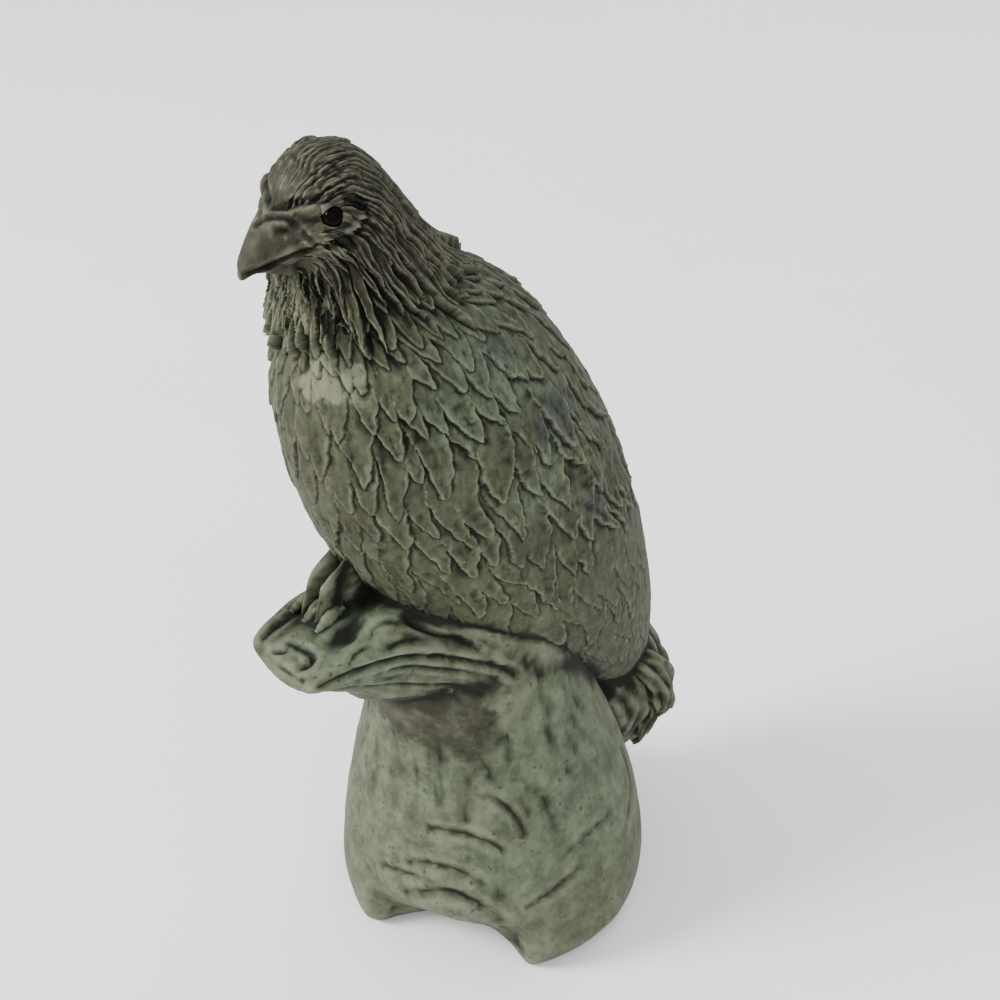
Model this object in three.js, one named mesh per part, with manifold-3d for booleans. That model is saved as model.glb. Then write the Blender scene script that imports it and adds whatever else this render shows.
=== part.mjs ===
// A carved bird of prey that sits on a short branch, on a tree stump with a scalloped foot.
// Bird, branch and stump are one solid casting. Two glass bead eyes sit in sockets in the head.
// The bird faces -Y, +Z is up, and the origin is the middle of the stump's flat underside.
// Lengths are in millimetres, and a free form's stations are shares of its own named size.

import * as THREE from 'three';
import { mergeVertices } from 'three/addons/utils/BufferGeometryUtils.js';
import Module from 'manifold-3d';

const wasm = await Module();
wasm.setup();

// Driving dimensions
const stumpRadius = 44;
const stumpHeight = 98;
const scallopDepth = 20;
const scallopHeight = 26;
const scallopWidth = 51;
const footBevel = 2.4;
const creaseHeight = 1.8;
const branchReach = 68;
const branchWidth = 44;
const branchDepth = 46;
const barkRim = 1.6;
const perchRise = 22;
const birdHeight = 121;
const birdAside = -4;
const feetAside = -2.5;
const feetApart = 5.6;
const legThickness = 4.6;
const toeThickness = 3.2;
const toeLength = 8;
const beakLength = 22;
const browHeight = 1.3;
const eyeDiameter = 5;
const eyeGap = 0.3;
const lidThickness = 1.2;
const tailLength = 43;
const tailWidth = 34;
const tailAside = 2;
const featherHeight = 1.7;
const hackleHeight = 1.1;
const ruffThickness = 1.9;

const perchHeight = stumpHeight + perchRise;
const degrees = Math.PI / 180;
const fullTurn = 2 * Math.PI;

// A smooth value through a list of numbers spaced evenly from 0 to 1, as a Catmull-Rom spline.
function through(values, t) {
  const last = values.length - 1;
  const place = Math.min(Math.max(t, 0), 1) * last;
  const i = Math.min(Math.floor(place), last - 1);
  const w = place - i;
  const a = values[Math.max(i - 1, 0)];
  const b = values[i];
  const c = values[i + 1];
  const d = values[Math.min(i + 2, last)];
  const left = (c - a) / 2;
  const right = (d - b) / 2;
  return b + w * (left + w * (3 * (c - b) - 2 * left - right + w * (left + right - 2 * (c - b))));
}

// The columns of a table of stations, so that each can be read as a smooth curve.
function columnsOf(stations) {
  return stations[0].map((_, column) => stations.map((row) => row[column]));
}

function smoothstep(low, high, x) {
  const t = Math.min(Math.max((x - low) / (high - low), 0), 1);
  return t * t * (3 - 2 * t);
}

// A bump of height 1 at the middle that falls to 0 within about two widths.
function bump(x, middle, width) {
  const t = (x - middle) / width;
  return Math.exp(-t * t);
}

// A repeatable number from 0 to 1 for a pair of whole numbers.
function chance(i, j) {
  const s = Math.sin(i * 127.1 + j * 311.7) * 43758.5453;
  return s - Math.floor(s);
}

// Shares from 0 to 1 in even steps.
function evenly(count) {
  return Array.from({ length: count }, (_, i) => i / (count - 1));
}

// A closed skin of rings: point(side, along, ring) gives the place of each corner.
// rises(ring, side) says which way a quad is split, so that its fold can follow the carving.
function loft(alongs, sides, point, rises = (r, s) => (r + s) % 2 === 1) {
  const places = [];
  const faces = [];
  alongs.forEach((along, r) => {
    for (let s = 0; s < sides; s++) {
      places.push(...point(s, along, r).toArray());
    }
  });
  for (let r = 0; r < alongs.length - 1; r++) {
    for (let s = 0; s < sides; s++) {
      const a = r * sides + s;
      const b = r * sides + ((s + 1) % sides);
      const c = a + sides;
      const d = b + sides;
      if (rises(r, s)) {
        faces.push(a, b, d, a, d, c);
      } else {
        faces.push(a, b, c, b, d, c);
      }
    }
  }
  for (const [ring, flip] of [[0, true], [alongs.length - 1, false]]) {
    const middle = new THREE.Vector3();
    for (let s = 0; s < sides; s++) {
      middle.add(new THREE.Vector3().fromArray(places, (ring * sides + s) * 3));
    }
    places.push(...middle.divideScalar(sides).toArray());
    const pole = places.length / 3 - 1;
    for (let s = 0; s < sides; s++) {
      const a = ring * sides + s;
      const b = ring * sides + ((s + 1) % sides);
      faces.push(...(flip ? [pole, b, a] : [pole, a, b]));
    }
  }
  const geometry = new THREE.BufferGeometry();
  geometry.setAttribute('position', new THREE.Float32BufferAttribute(places, 3));
  geometry.setIndex(faces);
  return geometry;
}

// A bent, tapering limb along a smooth curve. flat is its second width as a share of the first.
function limb(path, radii, rings, sides, flat = 1) {
  const curve = new THREE.CatmullRomCurve3(path.map((p) => new THREE.Vector3(...p)));
  const frames = curve.computeFrenetFrames(rings - 1);
  return loft(evenly(rings), sides, (side, along, ring) => {
    const angle = side / sides * fullTurn;
    const radius = through(radii, along);
    return curve.getPointAt(along)
      .addScaledVector(frames.normals[ring], Math.cos(angle) * radius)
      .addScaledVector(frames.binormals[ring], Math.sin(angle) * radius * flat);
  });
}

// A closed mesh as a solid, turned right side out if its volume comes out negative.
function solid(source) {
  const geometry = source.clone();
  geometry.deleteAttribute('normal');
  geometry.deleteAttribute('uv');
  const merged = mergeVertices(geometry, 1e-4);
  const vertProperties = Float32Array.from(merged.attributes.position.array);
  const triVerts = Uint32Array.from(merged.index.array);
  let volume = 0;
  for (let t = 0; t < triVerts.length; t += 3) {
    const [a, b, c] = [0, 1, 2].map((n) => new THREE.Vector3().fromArray(vertProperties, triVerts[t + n] * 3));
    volume += a.dot(b.cross(c));
  }
  if (volume < 0) {
    triVerts.reverse();
  }
  return new wasm.Manifold(new wasm.Mesh({ numProp: 3, vertProperties, triVerts }));
}

function geometryOf(manifold) {
  const mesh = manifold.getMesh();
  const geometry = new THREE.BufferGeometry();
  geometry.setAttribute('position', new THREE.BufferAttribute(mesh.vertProperties, 3));
  geometry.setIndex(new THREE.BufferAttribute(mesh.triVerts, 1));
  return geometry;
}

// Bird: rings from the face back over the neck and down to the tail.
// Each row is belly y, belly z, back y, back z and half width, as shares of the bird's height.
const birdStations = [
  [-0.462, 0.800, -0.462, 0.860, 0.030],
  [-0.456, 0.776, -0.442, 0.915, 0.072],
  [-0.450, 0.758, -0.392, 0.962, 0.104],
  [-0.450, 0.738, -0.328, 0.972, 0.116],
  [-0.440, 0.708, -0.262, 0.914, 0.118],
  [-0.442, 0.664, -0.206, 0.828, 0.134],
  [-0.452, 0.602, -0.132, 0.740, 0.168],
  [-0.464, 0.522, -0.028, 0.676, 0.209],
  [-0.464, 0.418, 0.088, 0.577, 0.244],
  [-0.442, 0.288, 0.202, 0.418, 0.268],
  [-0.390, 0.145, 0.302, 0.234, 0.276],
  [-0.310, 0.000, 0.378, 0.040, 0.270],
  [-0.205, -0.140, 0.440, -0.155, 0.250],
  [-0.065, -0.280, 0.480, -0.345, 0.208],
  [0.100, -0.410, 0.490, -0.510, 0.150],
  [0.250, -0.510, 0.460, -0.600, 0.080],
];
const birdColumns = columnsOf(birdStations);
const birdSides = 52;
const headRings = 15;
const featherRows = 12;
const ruffEnd = 0.405;
const ruffTilt = 0.028;
const ruffRagged = 0.016;
const eyeTurn = 0.215;
const eyeAlong = 0.150;

// Three rings make a row of feathers: at its tips, just past them, and low down between. A ring
// dips towards the tail at a tip and draws back beside it, so that the tips are pointed.
const tipShares = [0.10, 0.27, 0.62];
const besideShares = [-0.25, -0.10, 0.50];
const tipHeights = [1.0, 0.30, 0.05];
const besideHeights = [0.18, 0.24, 0.66];
const ringsPerRow = tipShares.length;
const rowLength = (1 - ruffEnd) / featherRows;
const headAlongs = evenly(headRings).map((share) => share * (ruffEnd - 0.02));
const bodyAlongs = Array.from({ length: featherRows * ringsPerRow }, (_, step) => (
  ruffEnd + rowLength * (Math.floor(step / ringsPerRow) + tipShares[step % ringsPerRow])
));
const birdAlongs = [...headAlongs, ...bodyAlongs, 1];

// A place on the bird. turn 0 is the middle of the back, and 0.5 is the breast. lift stands
// proud of the plain surface.
function birdSurface(turn, along, lift) {
  const [bellyY, bellyZ, backY, backZ, width] = birdColumns.map((c) => through(c, along) * birdHeight);
  const angle = turn * fullTurn;
  const shareOfBack = (1 + Math.cos(angle)) / 2;
  const out = new THREE.Vector3(
    width * Math.sin(angle),
    (backY - bellyY) / 2 * Math.cos(angle),
    (backZ - bellyZ) / 2 * Math.cos(angle),
  );
  const place = new THREE.Vector3(
    birdAside + out.x,
    THREE.MathUtils.lerp(bellyY, backY, shareOfBack),
    perchHeight + THREE.MathUtils.lerp(bellyZ, backZ, shareOfBack),
  );
  return place.addScaledVector(out.normalize(), lift);
}

// Brow ridges that run from the beak over each eye.
function browLift(turn, along) {
  const fromBack = Math.min(turn, 1 - turn);
  return browHeight * bump(fromBack, eyeTurn - 0.055, 0.026) * (1 - smoothstep(0.14, 0.24, along));
}

// Hackles: strands two sides wide, in tiers three rings long that rise to their tips.
function hackleLift(side, along, ring) {
  const strand = side % 2 ? -1 : 1;
  const tier = (ring + 2 * Math.floor(side / 2)) % 3;
  const depth = smoothstep(0.13, 0.27, along);
  return depth * hackleHeight * (0.7 * strand + 0.45 * (tier - 1)) + ruffThickness * smoothstep(0.18, 0.36, along);
}

// Feathers two sides wide, each row staggered by one side. The breast's are softer.
function isTip(side, row) {
  return (side + row) % 2 === 0;
}

function birdPoint(side, along, ring) {
  const turn = side / birdSides;
  const tilt = ruffTilt * Math.cos(turn * fullTurn) * bump(along, ruffEnd, 0.14);
  if (ring < headRings) {
    const ragged = ruffRagged * (side % 2 ? -0.6 : chance(side, 0)) * bump(along, ruffEnd - 0.02, 0.012);
    return birdSurface(turn, along + tilt + ragged, browLift(turn, along) + hackleLift(side, along, ring));
  }
  const step = ring - headRings;
  const row = Math.floor(step / ringsPerRow);
  const kind = step % ringsPerRow;
  const shift = row === 0 || isTip(side, row) ? 0 : besideShares[kind] - tipShares[kind];
  const softness = 1 - 0.45 * bump(turn, 0.5, 0.12);
  const fade = 1 - smoothstep(0.93, 1, along);
  const height = (isTip(side, row) ? tipHeights : besideHeights)[kind] * (0.8 + 0.4 * chance(side, row));
  return birdSurface(turn, along + tilt + shift * rowLength * fade, featherHeight * height * softness * fade);
}

// Folds follow the edges of the feathers, which run back from each tip to both sides.
function birdFold(ring, side) {
  const row = Math.max(0, Math.floor((ring - headRings) / ringsPerRow));
  return isTip(side + 1, row);
}
const bird = solid(loft(birdAlongs, birdSides, birdPoint, birdFold));

// Beak: rows are the way forward from the gape, ridge, mouth line, underside and half width, as
// shares of the beak's length. The ridge curves over into a short hook.
const beakStations = [
  [0.00, 0.76, 0.25, -0.20, 0.500],
  [0.28, 0.74, 0.22, -0.17, 0.460],
  [0.53, 0.63, 0.16, -0.11, 0.360],
  [0.71, 0.49, 0.09, -0.05, 0.265],
  [0.84, 0.34, 0.05, 0.01, 0.190],
  [0.93, 0.20, 0.02, -0.02, 0.130],
  [0.98, 0.11, 0.00, -0.05, 0.080],
  [1.00, 0.03, -0.01, -0.05, 0.040],
];
const beakColumns = columnsOf(beakStations);
const beakSides = 16;
const beakRings = 11;
const beakTip = new THREE.Vector3(birdAside, -0.541 * birdHeight, perchHeight + 0.780 * birdHeight);
const lowerJawShare = 0.8;
function beakPoint(side, along) {
  const angle = side / beakSides * fullTurn;
  const [forward, ridge, mouth, under, half] = beakColumns.map((c) => through(c, along) * beakLength);
  const up = Math.cos(angle);
  const isUpper = up > -0.1;
  const out = Math.sign(Math.sin(angle)) * Math.abs(Math.sin(angle)) ** 0.85;
  const x = half * out * (isUpper ? 1 : lowerJawShare);
  const z = mouth + (isUpper ? (ridge - mouth) * Math.max(up, 0) : (mouth - under) * up);
  return beakTip.clone().add(new THREE.Vector3(x, beakLength - forward, z));
}
const beak = solid(loft(evenly(beakRings), beakSides, beakPoint));

// Tail: a core with a fan of curled lobes round it.
const tailTop = new THREE.Vector3(birdAside + tailAside, 0.32 * birdHeight, perchHeight - 0.45 * birdHeight);
const lobeCount = 7;
const lobeThickness = 0.30 * tailWidth;
function tailPlace(aside, back, down) {
  return [tailTop.x + aside * tailWidth, tailTop.y + back * tailLength, tailTop.z - down * tailLength];
}
const tailLobes = [
  solid(limb(
    [tailPlace(0, -0.1, -0.1), tailPlace(0, 0.16, 0.22), tailPlace(0, 0.27, 0.6), tailPlace(0, 0.24, 0.92)],
    [0.34, 0.42, 0.42, 0.28].map((share) => share * tailWidth), 6, 14, 1.25,
  )),
];
for (let i = 0; i < lobeCount; i++) {
  const u = 2 * i / (lobeCount - 1) - 1;
  const isInner = i % 2;
  const drop = 0.84 - 0.14 * u * u + (isInner ? 0.18 : 0) + 0.06 * (chance(i, 3) - 0.5);
  const back = (0.62 - 0.16 * u * u) * (isInner ? 0.72 : 1);
  const path = [
    tailPlace(0.26 * u, 0.1, 0.02),
    tailPlace(0.36 * u, back * 0.74, 0.28),
    tailPlace(0.38 * u, back, 0.58),
    tailPlace(0.37 * u, back * 0.95, drop - 0.06),
    tailPlace(0.34 * u, back * 0.82, drop),
  ];
  tailLobes.push(solid(limb(path, [0.35, 0.55, 0.60, 0.46, 0.15].map((share) => share * lobeThickness), 6, 8)));
}

// Feet: on each side a leg, flat from the side and solid back to the belly, between two toes
// that lie on the branch and grip it.
const heelY = -0.417 * birdHeight;
const legDepth = 0.12 * birdHeight;
const legRings = 6;
const legSides = 12;
const feet = [];
for (const footSide of [-1, 1]) {
  const x = birdAside + feetAside + footSide * feetApart / 2;
  feet.push(solid(loft(evenly(legRings), legSides, (side, along) => {
    const angle = side / legSides * fullTurn;
    const front = heelY + through([0.9, 0, -0.3, -0.5], along) * toeLength;
    const rear = heelY + legDepth;
    return new THREE.Vector3(
      x + through([0.40, 0.52, 0.44, 0.30], along) * legThickness * Math.sin(angle),
      (front + rear) / 2 + (rear - front) / 2 * Math.cos(angle),
      perchHeight + THREE.MathUtils.lerp(1.7, -0.35, along) * toeLength,
    );
  })));
  for (const spread of [-1, 1]) {
    const toePath = [
      [x + 0.10 * spread * toeLength, heelY + 0.5 * toeLength, perchHeight - 0.02 * toeLength],
      [x + 0.30 * spread * toeLength, heelY - 0.20 * toeLength, perchHeight - 0.16 * toeLength],
      [x + 0.36 * spread * toeLength, heelY - 0.65 * toeLength, perchHeight - 0.4 * toeLength],
    ];
    feet.push(solid(limb(toePath, [0.5, 0.5, 0.25].map((share) => share * toeThickness), 5, 6)));
  }
}

// Stump: a trunk that narrows and leans towards the branch, with a scallop cut out of its foot
// and a soft crease down its side.
const stumpProfile = [1.0, 1.02, 0.995, 0.955, 0.885, 0.795, 0.72, 0.68, 0.62];
const stumpLean = [0, 0, 0.0, 0.005, 0.015, 0.045, 0.095, 0.165, 0.24];
const leanX = -0.4;
const leanY = -0.85;
const stumpSides = 54;
const stumpRings = 12;
const scallopAngle = -60 * degrees;
const creaseAngle = -6 * degrees;
function stumpPoint(side, along) {
  const angle = side / stumpSides * fullTurn;
  const z = along * stumpHeight;
  const aside = Math.atan2(Math.sin(angle - scallopAngle), Math.cos(angle - scallopAngle)) * stumpRadius;
  const cut = Math.sqrt(Math.max(0, 1 - (aside / (scallopWidth / 2)) ** 2));
  const fade = 1 - smoothstep(0, scallopHeight, z);
  const bevel = footBevel * (1 - smoothstep(0, 2 * footBevel, z));
  const fromCrease = Math.atan2(Math.sin(angle - creaseAngle), Math.cos(angle - creaseAngle));
  const crease = creaseHeight * bump(fromCrease, 0, 0.2) * smoothstep(0.45, 0.75, along);
  const radius = stumpRadius * through(stumpProfile, along) - bevel - scallopDepth * cut * fade + crease;
  const lean = stumpRadius * through(stumpLean, along);
  return new THREE.Vector3(radius * Math.cos(angle) + leanX * lean, radius * Math.sin(angle) + leanY * lean, z);
}
const stump = solid(loft(evenly(stumpRings), stumpSides, stumpPoint));

// Branch: a flat-topped limb with a raised bark rim, which grows out of the stump's top towards
// the bird's front. Rows are y as a share of the reach, middle x and half width as shares of the
// width, then the drop of the top and of the keel below the perch, as shares of the depth.
const branchStations = [
  [0.40, -0.02, 0.30, 1.00, 1.25],
  [0.22, 0.00, 0.46, 0.62, 1.28],
  [0.00, 0.02, 0.53, 0.30, 1.22],
  [-0.25, 0.03, 0.50, 0.10, 0.97],
  [-0.45, 0.00, 0.43, 0.02, 0.81],
  [-0.62, -0.03, 0.365, 0.00, 0.68],
  [-0.76, -0.045, 0.35, 0.03, 0.50],
  [-0.88, -0.03, 0.325, 0.09, 0.37],
  [-0.96, -0.01, 0.30, 0.13, 0.29],
  [-1.00, -0.01, 0.26, 0.17, 0.25],
];
const branchColumns = columnsOf(branchStations);
const branchSides = 24;
const branchRings = 16;
function branchPoint(side, along) {
  const angle = side / branchSides * fullTurn;
  const [y, middle, half, top, keel] = branchColumns.map((c) => through(c, along));
  const high = perchHeight - top * branchDepth;
  const low = perchHeight - keel * branchDepth;
  const widest = high - 0.3 * (high - low);
  const up = Math.sin(angle);
  const across = Math.cos(angle);
  const rim = barkRim * smoothstep(0.6, 0.9, -across) * smoothstep(0, 0.3, up);
  const rise = up > 0 ? (high - widest) * Math.sqrt(up) + rim : (widest - low) * up;
  const hull = up > 0 ? across : Math.sign(across) * Math.abs(across) ** 1.5;
  return new THREE.Vector3(branchWidth * (middle + half * hull), y * branchReach, widest + rise);
}
const branch = solid(loft(evenly(branchRings), branchSides, branchPoint));

// Eyes: glass beads, each in a socket with a lid round it.
const eyeRadius = eyeDiameter / 2;
const eyeSink = 0.5;
function ball(radius, place) {
  const geometry = new THREE.SphereGeometry(radius, 12, 8);
  geometry.translate(place.x, place.y, place.z);
  return geometry;
}
const glass = new THREE.MeshStandardMaterial({ color: 0x080808, roughness: 0.05, metalness: 0 });
const eyes = [];
let head = bird.add(beak);
for (const [name, turn] of [['eye_left', eyeTurn], ['eye_right', 1 - eyeTurn]]) {
  const place = birdSurface(turn, eyeAlong, -eyeSink * eyeRadius);
  const outward = birdSurface(turn, eyeAlong, eyeRadius).sub(place).normalize();
  const lid = new THREE.SphereGeometry(eyeRadius + 0.6 * lidThickness, 14, 8);
  lid.scale(1, 1, 0.35);
  lid.applyQuaternion(new THREE.Quaternion().setFromUnitVectors(new THREE.Vector3(0, 0, 1), outward));
  const lidPlace = place.clone().addScaledVector(outward, 0.3 * eyeRadius);
  lid.translate(lidPlace.x, lidPlace.y, lidPlace.z);
  head = head.add(solid(lid)).subtract(solid(ball(eyeRadius + eyeGap, place)));
  const eye = new THREE.Mesh(ball(eyeRadius, place), glass);
  eye.name = name;
  eyes.push(eye);
}

let casting = head.add(stump).add(branch);
for (const piece of [...tailLobes, ...feet]) {
  casting = casting.add(piece);
}
const stone = new THREE.MeshStandardMaterial({ color: 0x6e7565, roughness: 0.85, metalness: 0 });
const castingMesh = new THREE.Mesh(geometryOf(casting), stone);
castingMesh.name = 'bird_on_stump';

const group = new THREE.Group();
group.add(castingMesh, ...eyes);

export default group;
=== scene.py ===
"""A carved bird of prey on a branch and stump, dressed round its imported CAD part.

The carving is one piece: plumage, beak, eyelids, tail, feet, branch and stump are worked out as
grids, joined into one closed skin, and painted by masks that come from its own shape.
"""

import math

import bmesh
import bpy
import numpy as np
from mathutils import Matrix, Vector


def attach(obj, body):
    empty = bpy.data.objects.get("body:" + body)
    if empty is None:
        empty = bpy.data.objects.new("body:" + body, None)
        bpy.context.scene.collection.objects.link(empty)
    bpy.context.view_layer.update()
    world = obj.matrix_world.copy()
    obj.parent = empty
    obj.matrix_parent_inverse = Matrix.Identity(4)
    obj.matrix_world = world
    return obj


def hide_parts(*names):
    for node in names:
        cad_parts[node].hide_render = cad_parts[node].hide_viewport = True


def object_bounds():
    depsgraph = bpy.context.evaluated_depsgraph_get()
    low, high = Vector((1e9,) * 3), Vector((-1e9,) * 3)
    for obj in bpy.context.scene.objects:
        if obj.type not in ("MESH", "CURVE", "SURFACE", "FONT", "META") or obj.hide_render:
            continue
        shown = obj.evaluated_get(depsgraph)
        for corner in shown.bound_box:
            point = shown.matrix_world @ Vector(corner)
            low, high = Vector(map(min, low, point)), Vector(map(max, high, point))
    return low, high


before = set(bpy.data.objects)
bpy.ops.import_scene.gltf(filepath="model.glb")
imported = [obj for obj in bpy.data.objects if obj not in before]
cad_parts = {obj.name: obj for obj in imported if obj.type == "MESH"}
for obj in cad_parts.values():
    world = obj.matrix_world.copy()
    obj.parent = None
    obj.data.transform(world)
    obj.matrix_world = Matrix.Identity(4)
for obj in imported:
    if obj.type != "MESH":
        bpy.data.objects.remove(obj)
CAD_BOX = [list(corner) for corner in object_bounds()]

bl_info = {
    "name": "Carved bird on a stump",
    "version": (1, 0, 0),
    "blender": (4, 5, 0),
    "location": "View3D > Sidebar > Carving",
    "description": "Builds a carved stone bird of prey on a branch and stump",
    "category": "Object",
}

TAU = 2 * math.pi
MM = 0.001
# Material indices that mark each face's kind until the masks are painted.
PLUMAGE, WOOD = 0, 1
# The socket's and the bead's radius as shares of the eye's.
SOCKET_SHARE, BEAD_SHARE = 0.95, 0.88
MOST_TRIANGLES = 194_000

# Bird stations from the face to the rump: belly y, belly z, back y, back z and half width, as
# shares of the bird's height, with z from the perch.
BIRD = np.array([
    [-0.462, 0.800, -0.462, 0.860, 0.030],
    [-0.456, 0.776, -0.442, 0.915, 0.072],
    [-0.450, 0.758, -0.392, 0.962, 0.104],
    [-0.450, 0.738, -0.328, 0.972, 0.116],
    [-0.440, 0.708, -0.262, 0.914, 0.118],
    [-0.442, 0.664, -0.206, 0.828, 0.134],
    [-0.452, 0.602, -0.132, 0.740, 0.168],
    [-0.464, 0.522, -0.028, 0.676, 0.209],
    [-0.464, 0.418, 0.088, 0.577, 0.244],
    [-0.442, 0.288, 0.202, 0.418, 0.268],
    [-0.390, 0.145, 0.302, 0.234, 0.276],
    [-0.310, 0.000, 0.378, 0.040, 0.270],
    [-0.205, -0.140, 0.440, -0.155, 0.250],
    [-0.065, -0.280, 0.480, -0.345, 0.208],
    [0.100, -0.410, 0.490, -0.510, 0.150],
    [0.250, -0.510, 0.460, -0.600, 0.080],
])

# Beak stations from the gape forward: forward, ridge, mouth line, underside and half width, as
# shares of the beak's length.
BEAK = np.array([
    [0.00, 0.76, 0.25, -0.20, 0.500],
    [0.28, 0.74, 0.22, -0.17, 0.460],
    [0.53, 0.63, 0.16, -0.11, 0.360],
    [0.71, 0.49, 0.09, -0.05, 0.265],
    [0.84, 0.34, 0.05, 0.01, 0.190],
    [0.93, 0.20, 0.02, -0.02, 0.130],
    [0.98, 0.11, 0.00, -0.05, 0.080],
    [1.00, 0.03, -0.01, -0.05, 0.040],
])

# Branch stations from inside the stump to the sawn end: y as a share of the reach, middle x and
# half width as shares of the width, drop of the top and of the keel as shares of the depth.
BRANCH = np.array([
    [0.40, -0.02, 0.30, 1.00, 1.25],
    [0.22, 0.00, 0.46, 0.62, 1.28],
    [0.00, 0.02, 0.53, 0.30, 1.22],
    [-0.25, 0.03, 0.50, 0.10, 0.97],
    [-0.45, 0.00, 0.43, 0.02, 0.81],
    [-0.62, -0.03, 0.365, 0.00, 0.68],
    [-0.76, -0.045, 0.35, 0.03, 0.50],
    [-0.88, -0.03, 0.325, 0.09, 0.37],
    [-0.96, -0.01, 0.30, 0.13, 0.29],
    [-1.00, -0.01, 0.26, 0.17, 0.25],
])

# The stump's radius and its lean towards the branch, from the foot up.
STUMP_RADII = np.array([1.0, 1.02, 0.995, 0.955, 0.885, 0.795, 0.72, 0.68, 0.62])
STUMP_LEANS = np.array([0, 0, 0, 0.005, 0.015, 0.045, 0.095, 0.165, 0.24])

# Gouge strokes in millimetres: three points of a bent line, half width, depth. A negative depth
# raises a ridge. On the side that the photograph shows, many of the places were picked on it and
# carried to the CAD surface along the camera's rays, and some were then moved.
STUMP_STROKES = [
    ((27, -24.2, 62.2), (31.3, -20, 57.8), (34.8, -17.6, 50.4), 1.1, 0.9),
    ((16.6, -35.8, 50), (24.9, -30.3, 50.6), (31.9, -24, 46.7), 1.2, 1.1),
    ((12.6, -40, 37.4), (22.1, -35.2, 39.5), (30, -29.4, 36.6), 1.3, 1),
    ((2.5, -43.3, 30.2), (12, -41.5, 33), (20.5, -37.5, 33.5), 1.2, 0.7),
    ((12, -41.5, 25), (25, -34.8, 31), (34.5, -26, 22.5), 1.8, 1.7),
    ((38.9, -19, 27.7), (42, -11.9, 31.5), (43, -4.3, 34.5), 1.2, 0.8),
    ((41.5, -10, 38.5), (42, -2, 42.5), (39.5, 9, 43.3), 1.5, 0.6),
    ((35.5, -13.5, 64), (37.5, -11, 57), (39.5, -10, 51), 1.7, 0.6),
    ((20, -28, 75), (26, -24, 70), (29.5, -22.5, 64), 2, 0.5),
    ((-38, 6, 58), (-42, 4, 46), (-43, -4, 34), 1.6, 0.7),
    ((-38, 16, 60), (-39, 20, 46), (-43, 8, 32), 1.8, 0.8),
    ((-14, 38, 62), (-16, 40.5, 48), (-26, 35, 34), 2, 0.9),
    ((4, 40, 56), (10, 41, 44), (20, 39, 36), 1.7, 0.8),
    ((30, 28, 52), (33, 28.5, 42), (40, 18, 34), 1.8, 0.8),
]
BRANCH_STROKES = [
    ((12.5, -33.5, 118), (18.5, -27.5, 113.2), (22.2, -19.5, 108), 3, 2.8),
    ((-2.6, -62.2, 115.1), (4.4, -60.8, 114.9), (4.7, -65.2, 114.1), 0.9, 1.4),
    ((-5.2, -65.9, 113.5), (-3.5, -65.6, 113.9), (-1.7, -64, 114.3), 0.7, 1),
    ((12.7, -63.7, 112.7), (13.8, -47.4, 111.6), (18.5, -31.8, 108.6), 1, 1.5),
    ((18, -33.5, 109), (21.4, -22.6, 103.6), (24.7, -13, 97), 1.2, 1.7),
    ((12, -52, 113.4), (14.2, -42, 113.6), (19.5, -29.5, 110.6), 0.9, -0.6),
    ((9.4, -36.5, 118.8), (17.1, -31, 114.8), (22.7, -18, 102.5), 1.1, 1.5),
    ((15.5, -44, 108), (20, -31, 104), (24.2, -18.5, 97), 1, 0.8),
    ((12.5, -50, 101), (18, -34, 97.5), (22, -22, 92.5), 0.8, 0.5),
    ((26.3, -8, 95), (26.4, -13.4, 89.5), (25.6, -18.5, 82), 2.5, -1.1),
    ((27.2, -5.6, 90), (30.4, -5.4, 79.5), (33.6, -6.6, 67), 2.6, 0.9),
    ((10.6, -47.5, 118), (8.8, -42, 118.9), (13.5, -35.5, 117.8), 0.9, 0.6),
    ((13.2, -44.5, 114.6), (14.4, -38, 115.2), (17.5, -30, 112.6), 0.9, 0.6),
    ((12.5, -56, 115), (11.5, -52.5, 116.3), (11.5, -48, 117), 0.8, 0.5),
    ((-10.3, -65.2, 114.1), (-11, -57.1, 116.6), (-9.6, -46, 118.8), 1, 1.2),
    ((7.5, -66.3, 113), (-1.2, -67.4, 112.2), (-8.6, -66.6, 112.4), 0.9, 0.9),
    ((2.5, -44.5, 119.6), (4.5, -49, 118.6), (5.5, -54.5, 117.2), 2.6, 2.2),
    ((-19, -52, 106), (-21, -36, 102), (-22.5, -20, 94), 1.6, 1.1),
    ((-14, -58, 103), (-15, -46, 96), (-15, -40, 86), 1.7, 1.1),
    ((12, -58, 104), (14, -46, 97), (14.5, -38, 88), 1.6, 1),
    ((0, -62, 98.5), (1, -52, 90), (0, -43, 80), 1.8, 1.1),
]
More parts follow.
